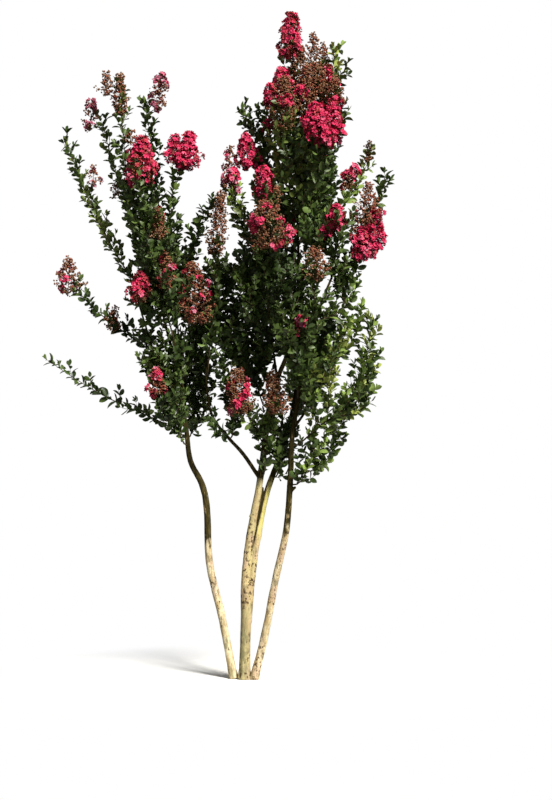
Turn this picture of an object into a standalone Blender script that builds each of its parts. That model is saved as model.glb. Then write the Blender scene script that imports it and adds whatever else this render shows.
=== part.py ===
"""Crape myrtle: three bare trunks from one root, boughs, and an upright crown of leafy, flowering masses.

Units are metres, +Z is up, the ground is the plane z = 0 and the middle trunk stands on the origin. The
tree is seen from -Y. Every limb is a tapering tube along a smooth line through a few named places, and
every mass of foliage is one solid: a stem, twigs that branch by a seeded rule, leaves and flower heads.
"""
import math
import random
from dataclasses import dataclass, field

import bmesh
import bpy
from mathutils import Vector
from mathutils.bvhtree import BVHTree

SEED = 41
GAP = 0.00032
GOLDEN_ANGLE = math.radians(137.508)

LIMB_STEP = 0.13
TRUNK_SIDES = 9
BOUGH_SIDES = 5
FLARE = 0.32
FLARE_HEIGHT = 0.045
NECK_TOP = 0.86

STEM_SIDES = 3
TWIG_SIDES = 3
STEM_RADIUS = 0.0055
STEM_TIP_RADIUS = 0.0024
TWIG_RADIUS = 0.0036
TWIG_TIP_RADIUS = 0.0022
LEAF_WIDTH = 0.68
LEAF_WIDEST = 0.42
LEAF_THICKNESS = 0.05
LEAF_DROOP = 0.10
LEAF_STEP = 1.27
LEAF_TRIES = 3
CORE_LEAVES = 9
SHOOT_STEP = 0.24
ROOT_STEP = 0.0007
CLEARANCE = 0.0025
SHARP_ANGLE = math.radians(50)
ACROSS_LIMBS = Vector((0.13, 0.97, 0.2))
ACROSS_SHOOTS = Vector((0.2, 1.0, 0.1))
FOOT_CUT_DEPTH = 0.05

# How a mass stands on its limb: how level its stem leaves, and how far it runs straight before it bends.
STEM_LEVEL = 0.3
STEM_RUN = 0.03
STALK_SEAT = 0.22
STALK_REACH = 0.03

# Leaves: ranges of lift in degrees, size and roll, the turn from pair to pair, and a tip leaf's seat. The
# guard is the swollen leaf that has to stay clear of everything else.
LEAF_LIFT = (34, 58)
LEAF_SWAY = 0.35
LEAF_SIZE = (0.88, 1.1)
LEAF_ROLL = 1.2
PAIR_TURN = math.radians(82)
TIP_LEAF_SEAT = 0.012
GUARD_LENGTH = 1.02
GUARD_THICKNESS = 2.0
GUARD_SPREAD = 0.3

# Twigs: where the first one stands, and the range of their lift in degrees.
FIRST_TWIG = 0.25
TWIG_LIFT = (44, 64)
TWIG_RISE = 0.12

# Flower heads and cores: rings and corners round, and how far each corner is pushed in or out.
BIG_BLOOM_WIDTH = 0.12
BIG_BLOOM_RINGS = (4, 6)
SMALL_BLOOM_RINGS = (3, 5)
BLOOM_LEAN = 0.08
BLOOM_RAGGED = (0.80, 1.12)
BLOOM_STEP = 0.04
CORE_RINGS = (3, 6)
CORE_RING_RISE = 0.62
CORE_RAGGED = (0.9, 1.1)
CORE_LEAF_UP = 0.7

BARK = (0.56, 0.46, 0.34)
DARK_BARK = (0.13, 0.11, 0.075)
DEEP_GREEN = (0.035, 0.085, 0.028)
OLIVE_GREEN = (0.095, 0.145, 0.035)
LIGHT_GREEN = (0.20, 0.30, 0.06)
PINK = (0.62, 0.035, 0.13)
SEED_BROWN = (0.20, 0.075, 0.05)

# A limb: its parent, the height at which it leaves that parent, its places (x, y, z) and its two radii.
# A limb that leaves at None goes on from its parent's tip.
TRUNKS = {
    "trunk_left": (
        [(-0.068, 0.018, 0), (-0.138, 0.05, 0.354), (-0.215, 0.055, 0.69), (-0.229, 0.05, 1.0),
         (-0.258, 0.045, 1.16), (-0.330, 0.035, 1.31), (-0.352, 0.03, 1.49), (-0.372, 0.03, 1.62)],
        [0.0240, 0.0230, 0.0225, 0.0200, 0.0190, 0.0165, 0.0145, 0.0125],
    ),
    "trunk_right": (
        [(0.052, -0.006, 0), (0.098, -0.02, 0.174), (0.134, -0.04, 0.342), (0.186, -0.06, 0.618),
         (0.246, -0.085, 0.894), (0.270, -0.11, 1.19), (0.282, -0.12, 1.45), (0.325, -0.165, 1.74)],
        [0.0255, 0.0240, 0.0225, 0.0210, 0.0195, 0.0180, 0.0155, 0.0125],
    ),
}
CENTRE_COLUMN = ([(-0.002, 0, 0), (0.003, 0, 0.25), (0.009, 0, 0.42), (0.014, 0, 0.57)],
                 [0.0340, 0.0310, 0.0325, 0.0320])
CENTRE_NECKS = (
    ([(0.000, 0, 0.34), (-0.001, 0, 0.564), (0.015, 0, 0.74), (0.031, 0, NECK_TOP)],
     [0.0240, 0.0240, 0.0240, 0.0240]),
    ([(0.020, 0, 0.34), (0.0375, 0.005, 0.564), (0.057, 0.012, 0.74), (0.076, 0.02, NECK_TOP)],
     [0.0205, 0.0210, 0.0210, 0.0210]),
)
STEMS = {
    "stem_centre": (
        0,
        [(0.056, 0, 1.0), (0.084, 0, 1.15), (0.117, 0, 1.4), (0.140, 0, 1.6), (0.19, 0, 1.79),
         (0.26, 0, 1.97), (0.31, 0, 2.21), (0.32, 0, 2.51), (0.31, 0, 2.90)],
        0.0240, 0.0075,
    ),
    "stem_right": (
        1,
        [(0.099, 0.03, 1.0), (0.137, 0.05, 1.15), (0.21, 0.09, 1.34), (0.28, 0.15, 1.58),
         (0.35, 0.21, 1.98), (0.41, 0.26, 2.35), (0.45, 0.28, 2.60)],
        0.0210, 0.0065,
    ),
}
BOUGHS = {
    "bough_left_up": ("trunk_left", None,
                      [(-0.42, 0.03, 1.88), (-0.48, 0.04, 2.13), (-0.54, 0.04, 2.37)], 0.0125, 0.0065),
    "bough_left_outer": ("trunk_left", 1.48,
                         [(-0.44, 0.0, 1.72), (-0.54, -0.02, 1.95), (-0.62, -0.02, 2.20)], 0.0095, 0.0060),
    "bough_left_front": ("trunk_left", 1.56,
                         [(-0.375, -0.10, 1.80), (-0.42, -0.22, 2.05)], 0.0090, 0.0060),
    "bough_left_back": ("trunk_left", 1.53,
                        [(-0.375, 0.16, 1.78), (-0.42, 0.30, 2.10)], 0.0090, 0.0060),
    "bough_middle": ("stem_centre", 1.20,
                     [(-0.01, -0.02, 1.35), (-0.10, -0.04, 1.45), (-0.19, -0.06, 1.57),
                      (-0.225, -0.07, 1.73), (-0.23, -0.07, 1.96)], 0.0130, 0.0065),
    "bough_front": ("stem_centre", 1.80,
                    [(0.165, -0.13, 2.0), (0.14, -0.26, 2.22)], 0.0090, 0.0060),
    "bough_upper_left": ("stem_centre", 2.20,
                         [(0.21, -0.05, 2.40), (0.11, -0.09, 2.56)], 0.0080, 0.0055),
    "bough_back": ("stem_right", 1.72,
                   [(0.30, 0.33, 2.02), (0.25, 0.42, 2.32)], 0.0090, 0.0060),
    "bough_right_up": ("trunk_right", None,
                       [(0.39, -0.20, 2.03), (0.46, -0.22, 2.26), (0.52, -0.20, 2.41)], 0.0125, 0.0065),
    "bough_right_low": ("trunk_right", 1.50,
                        [(0.40, -0.14, 1.67), (0.48, -0.12, 1.84)], 0.0090, 0.0060),
}


@dataclass
class Mass:
    """One mass of foliage: where it is rooted, its shoots, how far its leaves reach, and its flower heads.

    The first shoot is the stem, and the others branch from it. A height of None roots it on its limb's tip.
    A core is (x, y, z, half width, half height), a flower head is (x, y, z, length, width).
    """

    limb: str
    height: float
    shoots: list
    reach: float
    leaf: float
    twigs: int
    core: tuple = None
    blooms: list = field(default_factory=list)
    bare: float = 0.22
    colour: tuple = DEEP_GREEN


MASSES = {
    "low_left": Mass("trunk_left", 1.46, [[(-0.51, 0.0, 1.545), (-0.84, 0.02, 1.695), (-1.08, 0.02, 1.84),
                                           (-1.15, 0.02, 1.89)]], 0.075, 0.108, 0, bare=0.1),
    "left_out": Mass("bough_left_outer", 1.98, [[(-0.72, -0.05, 2.08), (-0.92, -0.06, 2.235),
                                                 (-1.02, -0.06, 2.37)]], 0.075, 0.119, 0,
                     blooms=[(-1.05, -0.06, 2.42, 0.21, 0.17), (-0.78, -0.08, 2.16, 0.15, 0.10)]),
    "left_high": Mass("bough_left_outer", None, [[(-0.69, -0.02, 2.41), (-0.80, -0.02, 2.60),
                                                  (-0.97, -0.02, 2.95), (-1.065, -0.02, 3.22)]],
                      0.075, 0.124, 0, colour=OLIVE_GREEN, bare=0.1,
                      blooms=[(-0.905, -0.05, 3.02, 0.12, 0.08)]),
    "left_mid": Mass("bough_left_up", 2.10, [[(-0.60, 0.08, 2.42), (-0.69, 0.08, 2.78), (-0.76, 0.07, 2.98),
                                              (-0.87, 0.05, 3.36)]], 0.07, 0.119, 0, bare=0.25,
                     blooms=[(-0.925, 0.05, 3.41, 0.17, 0.14)]),
    "left_top": Mass("bough_left_up", 2.24, [[(-0.615, -0.05, 2.60), (-0.69, -0.06, 2.93),
                                              (-0.73, -0.06, 3.50)]], 0.075, 0.119, 0,
                     bare=0.22,
                     blooms=[(-0.745, -0.06, 3.51, 0.25, 0.10), (-0.82, -0.08, 3.56, 0.14, 0.07),
                             (-0.68, -0.09, 3.24, 0.08, 0.05)]),
    "left_tall": Mass("bough_left_up", None, [[(-0.545, 0.09, 2.75), (-0.55, 0.10, 3.05),
                                               (-0.60, 0.08, 3.45)]], 0.07, 0.124, 0,
                      bare=0.2, blooms=[(-0.515, 0.06, 3.55, 0.20, 0.16)]),
    "left_cone": Mass("bough_left_up", 2.30, [[(-0.545, -0.12, 2.55), (-0.60, -0.17, 2.80),
                                               (-0.61, -0.17, 2.98)]], 0.13, 0.135, 3, colour=PINK,
                      blooms=[(-0.61, -0.17, 3.08, 0.26, 0.20), (-0.51, -0.17, 2.72, 0.16, 0.11)]),
    "left_inner": Mass("bough_left_up", 2.18, [[(-0.47, -0.03, 2.54), (-0.445, -0.02, 2.76),
                                                (-0.38, -0.02, 3.08)]], 0.08, 0.119, 0, colour=PINK,
                       bare=0.25, blooms=[(-0.37, -0.02, 3.16, 0.20, 0.20)]),
    "left_front": Mass("bough_left_front", None, [[(-0.46, -0.27, 2.22), (-0.50, -0.28, 2.50)],
                                                  [(-0.44, -0.24, 2.12), (-0.54, -0.20, 2.14),
                                                   (-0.60, -0.18, 2.29)]],
                       0.17, 0.151, 2, core=(-0.47, -0.26, 2.32, 0.08, 0.14),
                       blooms=[(-0.605, -0.24, 2.33, 0.18, 0.15), (-0.45, -0.35, 2.43, 0.20, 0.10)]),
    "left_back": Mass("bough_left_back", None, [[(-0.47, 0.33, 2.35), (-0.55, 0.31, 2.66)]],
                      0.18, 0.157, 2, core=(-0.48, 0.32, 2.42, 0.10, 0.17),
                      blooms=[(-0.56, 0.33, 2.77, 0.20, 0.14)]),
    "left_side": Mass("bough_left_up", 1.78, [[(-0.31, 0.0, 1.98), (-0.27, -0.04, 2.22)]],
                      0.13, 0.146, 3, blooms=[(-0.30, -0.07, 2.31, 0.36, 0.19)]),
    "left_low": Mass("trunk_left", 1.40, [[(-0.42, -0.12, 1.55), (-0.49, -0.15, 1.78), (-0.52, -0.14, 1.92)],
                                          [(-0.49, -0.14, 1.80), (-0.55, -0.12, 1.94), (-0.59, -0.11, 2.06)],
                                          [(-0.45, -0.13, 1.62), (-0.42, -0.16, 1.82), (-0.40, -0.15, 1.95)]],
                     0.14, 0.146, 1, core=(-0.485, -0.155, 1.74, 0.055, 0.11),
                     blooms=[(-0.51, -0.24, 1.78, 0.13, 0.12)]),
    "left_low_back": Mass("trunk_left", 1.44, [[(-0.31, 0.12, 1.58), (-0.29, 0.16, 1.85)]],
                          0.16, 0.145, 3),
    "middle_low": Mass("bough_middle", 1.44, [[(-0.07, -0.08, 1.52), (-0.055, -0.09, 1.58)],
                                              [(-0.075, -0.08, 1.50), (-0.15, -0.13, 1.47),
                                               (-0.19, -0.14, 1.54)],
                                              [(-0.07, -0.08, 1.54), (-0.11, -0.13, 1.74),
                                               (-0.12, -0.13, 1.90)]],
                       0.10, 0.119, 0, bare=0.3, colour=OLIVE_GREEN),
    "middle_heart": Mass("stem_centre", 1.62, [[(0.06, -0.06, 1.80), (-0.03, -0.08, 2.03),
                                                (-0.05, -0.06, 2.20)],
                                               [(0.04, -0.06, 1.86), (-0.11, -0.01, 2.02)],
                                               [(0.08, -0.06, 1.78), (0.13, -0.15, 1.95)]],
                         0.15, 0.151, 1, core=(-0.005, -0.07, 2.02, 0.06, 0.12)),
    "stem_low": Mass("stem_centre", 1.22, [[(0.125, -0.07, 1.28), (0.13, -0.12, 1.48)]],
                     0.07, 0.113, 0, bare=0.3, colour=LIGHT_GREEN),
    "mass_middle": Mass("bough_middle", None, [[(-0.19, -0.04, 2.18), (-0.13, 0.0, 2.45)]],
                        0.15, 0.146, 2, core=(-0.145, 0.0, 2.30, 0.055, 0.13)),
    "middle_seed": Mass("bough_middle", 1.82, [[(-0.20, -0.15, 2.05), (-0.16, -0.17, 2.50),
                                                (-0.155, -0.16, 2.62)]], 0.085, 0.124, 0, colour=SEED_BROWN,
                        bare=0.4, blooms=[(-0.155, -0.16, 2.72, 0.36, 0.13)]),
    "middle_leafy": Mass("bough_left_up", 2.00, [[(-0.39, 0.09, 2.30), (-0.31, 0.08, 2.62),
                                                  (-0.205, 0.05, 2.87)]], 0.09, 0.13, 2, bare=0.35),
    "bloom_middle": Mass("stem_centre", 1.42, [[(0.06, -0.13, 1.52), (-0.02, -0.18, 1.66)]],
                         0.09, 0.113, 0, colour=PINK, blooms=[(-0.03, -0.19, 1.73, 0.25, 0.20)]),
    "top_bloom": Mass("stem_centre", None, [[(0.295, -0.01, 3.30), (0.275, -0.01, 3.80)]],
                      0.12, 0.13, 2, colour=PINK,
                      blooms=[(0.273, -0.01, 3.86, 0.28, 0.16), (0.215, -0.05, 3.59, 0.12, 0.12),
                              (0.15, -0.03, 3.48, 0.10, 0.07)]),
    "mass_top": Mass("stem_centre", 2.78, [[(0.39, 0.05, 3.15), (0.415, 0.06, 3.68)],
                                           [(0.40, 0.05, 3.20), (0.50, 0.06, 3.55), (0.545, 0.06, 3.77)],
                                           [(0.50, 0.06, 3.50), (0.58, 0.07, 3.64)]], 0.09, 0.124, 0,
                     bare=0.25, blooms=[(0.415, 0.06, 3.76, 0.22, 0.10), (0.48, 0.10, 3.76, 0.14, 0.06),
                                        (0.44, -0.03, 3.58, 0.18, 0.12)]),
    "top_left": Mass("stem_centre", 2.74, [[(0.25, -0.12, 3.05), (0.215, -0.14, 3.38)]],
                     0.12, 0.135, 3, blooms=[(0.23, -0.15, 3.42, 0.30, 0.19)], colour=SEED_BROWN),
    "big_right": Mass("stem_centre", 2.68, [[(0.42, -0.18, 2.95), (0.475, -0.22, 3.20)],
                                            [(0.45, -0.2, 3.10), (0.56, -0.11, 3.30), (0.545, -0.1, 3.46)]],
                      0.11, 0.135, 2, colour=PINK,
                      blooms=[(0.475, -0.22, 3.285, 0.24, 0.24), (0.54, -0.10, 3.50, 0.18, 0.11)]),
    "left_shoulder": Mass("stem_centre", 2.56, [[(0.20, 0.06, 2.85), (0.11, 0.07, 3.18),
                                                 (-0.01, 0.06, 3.40)],
                                                [(0.16, 0.07, 3.02), (0.03, -0.02, 3.10)],
                                                [(0.15, 0.07, 3.10), (0.13, 0.10, 3.38)]], 0.10, 0.13, 1,
                          blooms=[(0.012, -0.03, 3.165, 0.18, 0.14)]),
    "small_left": Mass("bough_upper_left", None, [[(0.0, -0.10, 2.66), (-0.075, -0.10, 2.93)]],
                       0.11, 0.13, 2, colour=OLIVE_GREEN, blooms=[(-0.085, -0.10, 2.98, 0.12, 0.14)]),
    "bloom_mid": Mass("bough_front", None, [[(0.14, -0.27, 2.50), (0.12, -0.22, 2.88)],
                                            [(0.14, -0.27, 2.45), (0.145, -0.33, 2.62)]], 0.13, 0.14, 3,
                      colour=PINK,
                      blooms=[(0.14, -0.36, 2.69, 0.27, 0.28), (0.115, -0.21, 2.95, 0.19, 0.11)]),
    "mass_upper": Mass("stem_centre", 2.62, [[(0.41, 0.12, 2.85), (0.40, 0.15, 3.30)]],
                       0.16, 0.157, 2, core=(0.40, 0.14, 3.10, 0.08, 0.17)),
    "mid_left": Mass("bough_front", 2.06, [[(0.05, -0.21, 2.22), (0.02, -0.20, 2.48)]],
                     0.14, 0.146, 2, core=(0.03, -0.20, 2.36, 0.07, 0.13)),
    "mid_right": Mass("bough_right_up", None, [[(0.53, -0.29, 2.58), (0.54, -0.31, 2.68)],
                                               [(0.52, -0.26, 2.50), (0.44, -0.20, 2.62),
                                                (0.42, -0.17, 2.74)]],
                      0.12, 0.135, 2, colour=PINK, blooms=[(0.54, -0.32, 2.73, 0.15, 0.12)]),
    "right_high": Mass("stem_centre", 2.44, [[(0.45, -0.02, 2.66), (0.62, 0.0, 2.88), (0.72, 0.03, 3.06),
                                              (0.765, 0.03, 3.17)]], 0.075, 0.113, 0, bare=0.3,
                       blooms=[(0.635, -0.04, 3.0, 0.13, 0.10), (0.75, 0.03, 3.15, 0.12, 0.05)]),
    "right_big": Mass("bough_right_up", 2.28, [[(0.60, -0.08, 2.42), (0.72, -0.03, 2.70),
                                                (0.85, -0.02, 2.97)],
                                               [(0.63, -0.07, 2.48), (0.72, -0.14, 2.58)]], 0.11, 0.13, 1,
                      colour=PINK, blooms=[(0.735, -0.15, 2.73, 0.40, 0.20)]),
    "seed_mid": Mass("bough_right_up", 2.06, [[(0.41, -0.33, 2.22), (0.41, -0.36, 2.38)]],
                     0.09, 0.13, 0, colour=SEED_BROWN, blooms=[(0.41, -0.37, 2.46, 0.19, 0.17)]),
    "right_edge": Mass("bough_right_up", 2.14, [[(0.58, -0.14, 2.22), (0.65, -0.10, 2.44)]],
                       0.10, 0.124, 2, colour=LIGHT_GREEN),
    "right_low": Mass("bough_right_low", None, [[(0.55, -0.12, 1.96), (0.62, -0.12, 2.12)],
                                                [(0.53, -0.12, 1.90), (0.64, -0.06, 2.02),
                                                 (0.70, -0.06, 2.22)]], 0.07, 0.119, 0, bare=0.15,
                      colour=LIGHT_GREEN),
    "mass_right_low": Mass("trunk_right", 1.40, [[(0.44, -0.19, 1.52), (0.58, -0.21, 1.62),
                                                  (0.68, -0.19, 1.80), (0.755, -0.17, 2.12)],
                                                 [(0.60, -0.21, 1.66), (0.71, -0.10, 1.74),
                                                  (0.78, -0.08, 1.93)],
                                                 [(0.44, -0.19, 1.50), (0.55, -0.11, 1.48),
                                                  (0.60, -0.09, 1.62)],
                                                 [(0.50, -0.19, 1.56), (0.50, -0.25, 1.76),
                                                  (0.51, -0.24, 1.96)],
                                                 [(0.55, -0.21, 1.60), (0.66, -0.27, 1.60),
                                                  (0.73, -0.26, 1.70)]],
                           0.08, 0.124, 0, bare=0.15, colour=LIGHT_GREEN),
    "right_foot": Mass("trunk_right", 1.17, [[(0.34, -0.15, 1.20), (0.42, -0.18, 1.40)],
                                             [(0.36, -0.15, 1.25), (0.48, -0.12, 1.31),
                                              (0.54, -0.11, 1.42)]],
                       0.085, 0.119, 0, bare=0.2, colour=LIGHT_GREEN),
    "mass_centre": Mass("trunk_right", 1.68, [[(0.31, -0.29, 1.90), (0.29, -0.33, 2.12),
                                               (0.27, -0.33, 2.34)]],
                        0.17, 0.151, 2, core=(0.295, -0.32, 2.06, 0.08, 0.16)),
    "seed_centre": Mass("stem_centre", 1.50, [[(0.17, -0.15, 1.60), (0.18, -0.22, 1.68)]],
                        0.08, 0.119, 0, colour=SEED_BROWN, blooms=[(0.18, -0.23, 1.73, 0.24, 0.17)]),
    "centre_low": Mass("stem_right", 1.20, [[(0.21, -0.01, 1.28), (0.235, -0.03, 1.50)]],
                       0.12, 0.13, 2, colour=OLIVE_GREEN),
    "right_mid": Mass("trunk_right", 1.60, [[(0.42, -0.02, 1.80), (0.46, 0.05, 2.10)]],
                      0.15, 0.146, 2, core=(0.445, 0.03, 1.98, 0.07, 0.13)),
    "back_upper": Mass("stem_right", None, [[(0.46, 0.33, 2.82), (0.44, 0.33, 3.06)]],
                       0.17, 0.157, 2, core=(0.455, 0.33, 2.88, 0.085, 0.15),
                       blooms=[(0.44, 0.35, 3.14, 0.20, 0.14)]),
    "back_mid": Mass("bough_back", None, [[(0.22, 0.42, 2.50), (0.21, 0.39, 2.78)]],
                     0.16, 0.151, 2, core=(0.215, 0.41, 2.60, 0.08, 0.16),
                     blooms=[(0.20, 0.41, 2.88, 0.22, 0.14)]),
    "back_low": Mass("stem_right", 1.56, [[(0.38, 0.32, 1.74), (0.44, 0.38, 2.05)]],
                     0.15, 0.146, 2, core=(0.42, 0.36, 1.92, 0.075, 0.14)),
    "back_left": Mass("stem_centre", 1.98, [[(0.14, 0.18, 2.18), (0.06, 0.24, 2.52)]],
                      0.16, 0.151, 2, core=(0.09, 0.22, 2.36, 0.08, 0.15),
                      blooms=[(0.05, 0.26, 2.66, 0.18, 0.12)]),
}


def clear_scene():
    for old in list(bpy.data.objects):
        bpy.data.objects.remove(old, do_unlink=True)


def material(name, colour, roughness):
    made = bpy.data.materials.new(name)
    made.use_nodes = True
    shader = made.node_tree.nodes["Principled BSDF"]
    shader.inputs["Base Color"].default_value = (*colour, 1.0)
    shader.inputs["Roughness"].default_value = roughness
    shader.inputs["Metallic"].default_value = 0.0
    return made


def mesh_object(name, shape, home=None):
    """An object from (corners, faces), with its faces turned outward."""
    mesh = bpy.data.meshes.new(name)
    mesh.from_pydata([tuple(v) for v in shape[0]], [], shape[1])
    work = bmesh.new()
    work.from_mesh(mesh)
    bmesh.ops.recalc_face_normals(work, faces=work.faces)
    work.to_mesh(mesh)
    work.free()
    made = bpy.data.objects.new(name, mesh)
    (home or bpy.context.scene.collection).objects.link(made)
    return made


def finish(made, colour, roughness=0.75, smooth=False):
    made.data.materials.clear()
    made.data.materials.append(material(made.name, colour, roughness))
    if smooth:
        made.data.shade_smooth()
        made.data.set_sharp_from_angle(angle=SHARP_ANGLE)


def smooth_line(places, step):
    """A smooth line through the places, as points about one step apart."""
    points = [Vector(p) for p in places]
    ends = [points[0] * 2 - points[1]] + points + [points[-1] * 2 - points[-2]]
    line = []
    shares = []
    for i in range(1, len(ends) - 2):
        a, b, c, d = ends[i - 1:i + 3]
        count = max(1, round((c - b).length / step))
        for k in range(count):
            t = k / count
            line.append(0.5 * ((2 * b) + (c - a) * t + (2 * a - 5 * b + 4 * c - d) * t * t
                               + (3 * b - a - 3 * c + d) * t ** 3))
            shares.append(i - 1 + t)
    line.append(points[-1])
    shares.append(len(points) - 1)
    return line, shares


def between(values, share):
    """The value at a share between listed ones, along a straight line."""
    i = min(int(share), len(values) - 2)
    return values[i] + (values[i + 1] - values[i]) * (share - i)


def frames(line):
    """For each point of a line, its tangent and two directions across it, without twist."""
    found = []
    across = None
    for i, point in enumerate(line):
        tangent = (line[min(i + 1, len(line) - 1)] - line[max(i - 1, 0)]).normalized()
        if across is None:
            across = tangent.cross(ACROSS_LIMBS).normalized()
        across = (across - tangent * across.dot(tangent)).normalized()
        found.append((tangent, across, tangent.cross(across)))
    return found


def tube(line, radii, sides, level_foot=False, root_plane=None):
    """A closed tube. A level foot lies flat in its first point's level; a root plane sets the first ring."""
    corners = []
    for i, (point, radius, (tangent, u, v)) in enumerate(zip(line, radii, frames(line))):
        if i == 0 and root_plane is not None:
            u = (u - root_plane * u.dot(root_plane)).normalized()
            v = root_plane.cross(u)
        for k in range(sides):
            angle = 2 * math.pi * k / sides
            corner = point + (u * math.cos(angle) + v * math.sin(angle)) * radius
            if i == 0 and level_foot:
                corner.z = point.z
            corners.append(corner)
    faces = [tuple(range(sides))]
    for i in range(len(line) - 1):
        for k in range(sides):
            n = (k + 1) % sides
            faces.append((i * sides + k, i * sides + n, (i + 1) * sides + n, (i + 1) * sides + k))
    faces.append(tuple(range((len(line) - 1) * sides, len(line) * sides)))
    return corners, faces


def apply_modifiers(made):
    evaluated = made.evaluated_get(bpy.context.evaluated_depsgraph_get())
    mesh = bpy.data.meshes.new_from_object(evaluated)
    made.modifiers.clear()
    made.data = mesh


def fuse(name, shapes):
    """One solid from many closed shapes: a Boolean union over a collection of the pieces."""
    body = mesh_object(name, shapes[0])
    group = bpy.data.collections.new(name + "_pieces")
    bpy.context.scene.collection.children.link(group)
    pieces = [mesh_object(f"{name}_piece_{i}", shape, group) for i, shape in enumerate(shapes[1:])]
    join = body.modifiers.new("join", "BOOLEAN")
    join.operation = "UNION"
    join.operand_type = "COLLECTION"
    join.collection = group
    join.solver = "EXACT"
    apply_modifiers(body)
    for piece in pieces:
        bpy.data.objects.remove(piece, do_unlink=True)
    bpy.data.collections.remove(group)
    keep_outer_shell(body)
    return body


def keep_outer_shell(made):
    """Drops loose scraps and fills sealed hollows: only the largest shell stays."""
    work = bmesh.new()
    work.from_mesh(made.data)
    bmesh.ops.triangulate(work, faces=work.faces)
    left = set(work.faces)
    shells = []
    while left:
        shell = set()
        reach = [left.pop()]
        while reach:
            face = reach.pop()
            shell.add(face)
            for edge in face.edges:
                for other in edge.link_faces:
                    if other in left:
                        left.discard(other)
                        reach.append(other)
        shells.append(shell)
    shells.sort(key=lambda shell: sum(face.calc_area() for face in shell), reverse=True)
    scraps = [face for shell in shells[1:] for face in shell]
    bmesh.ops.delete(work, geom=scraps, context="FACES")
    loose = [v for v in work.verts if not v.link_faces]
    bmesh.ops.delete(work, geom=loose, context="VERTS")
    work.to_mesh(made.data)
    work.free()


def carve(made, cutter_shape):
    """Cuts one closed shape out of an object."""
    cutter = mesh_object(made.name + "_cutter", cutter_shape)
    cut = made.modifiers.new("cut", "BOOLEAN")
    cut.operation = "DIFFERENCE"
    cut.object = cutter
    cut.solver = "EXACT"
    apply_modifiers(made)
    bpy.data.objects.remove(cutter, do_unlink=True)
    keep_outer_shell(made)


def flared(line, radii):
    """Radii widened near the ground by the root flare."""
    return [r * (1 + FLARE * math.exp(-p.z / FLARE_HEIGHT)) for p, r in zip(line, radii)]


class Limb:
    """A limb's centre line and radii, for its own tube and for what grows on it."""

    def __init__(self, places, radii, sides):
        self.line, shares = smooth_line(places, LIMB_STEP)
        self.radii = [between(radii, share) for share in shares]
        self.sides = sides

    def at_height(self, height):
        """The centre line's point at a height, and the radius there."""
        for a, b, ra, rb in zip(self.line, self.line[1:], self.radii, self.radii[1:]):
            if a.z <= height <= b.z:
                t = (height - a.z) / (b.z - a.z)
                return a.lerp(b, t), ra + (rb - ra) * t
        return self.line[-1].copy(), self.radii[-1]

    def tip_direction(self):
        return (self.line[-1] - self.line[-2]).normalized()

    def shape(self, extra=0.0, level_foot=False):
        return tube(self.line, [r + extra for r in self.radii], self.sides, level_foot)


def build_limbs():
    """The trunks, the two stems of the middle trunk and the boughs. Returns limbs and objects by name."""
    limbs = {}
    objects = {}
    column = Limb(*CENTRE_COLUMN, TRUNK_SIDES)
    column.radii = flared(column.line, column.radii)
    necks = [Limb(places, radii, TRUNK_SIDES) for places, radii in CENTRE_NECKS]
    shapes = [column.shape(level_foot=True)] + [neck.shape() for neck in necks]
    objects["trunk_centre"] = fuse("trunk_centre", shapes)
    finish(objects["trunk_centre"], BARK, smooth=True)
    limbs["trunk_centre"] = column
    below = Vector((0, 0, -FOOT_CUT_DEPTH))
    for name, (places, radii) in TRUNKS.items():
        limb = Limb(places, radii, TRUNK_SIDES)
        limb.radii = flared(limb.line, limb.radii)
        made = mesh_object(name, limb.shape(level_foot=True))
        cutter = tube([column.line[0] + below] + column.line,
                      [column.radii[0] + GAP] + [r + GAP for r in column.radii], TRUNK_SIDES)
        carve(made, cutter)
        finish(made, BARK, smooth=True)
        limbs[name] = limb
        objects[name] = made
    for name, (neck, places, foot_radius, tip_radius) in STEMS.items():
        root = necks[neck]
        start = root.line[-1] + root.tip_direction() * GAP
        radii = [foot_radius + (tip_radius - foot_radius) * i / len(places) for i in range(len(places) + 1)]
        limb = Limb([start] + [Vector(p) for p in places], radii, TRUNK_SIDES)
        across = root.tip_direction()
        shape = tube(limb.line, limb.radii, limb.sides, root_plane=across)
        objects[name] = mesh_object(name, shape)
        finish(objects[name], DARK_BARK, smooth=True)
        limbs[name] = limb
    for name, (parent, height, places, foot_radius, tip_radius) in BOUGHS.items():
        root = limbs[parent]
        radii = [foot_radius + (tip_radius - foot_radius) * i / len(places) for i in range(len(places) + 1)]
        if height is None:
            across = root.tip_direction()
            start = root.line[-1] + across * GAP
            limb = Limb([start] + [Vector(p) for p in places], radii, BOUGH_SIDES)
            shape = tube(limb.line, limb.radii, limb.sides, root_plane=across)
            made = mesh_object(name, shape)
        else:
            start, _ = root.at_height(height)
            limb = Limb([start] + [Vector(p) for p in places], radii, BOUGH_SIDES)
            made = mesh_object(name, limb.shape())
            carve(made, root.shape(GAP))
        finish(made, DARK_BARK, smooth=True)
        limbs[name] = limb
        objects[name] = made
    return limbs, objects


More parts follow.
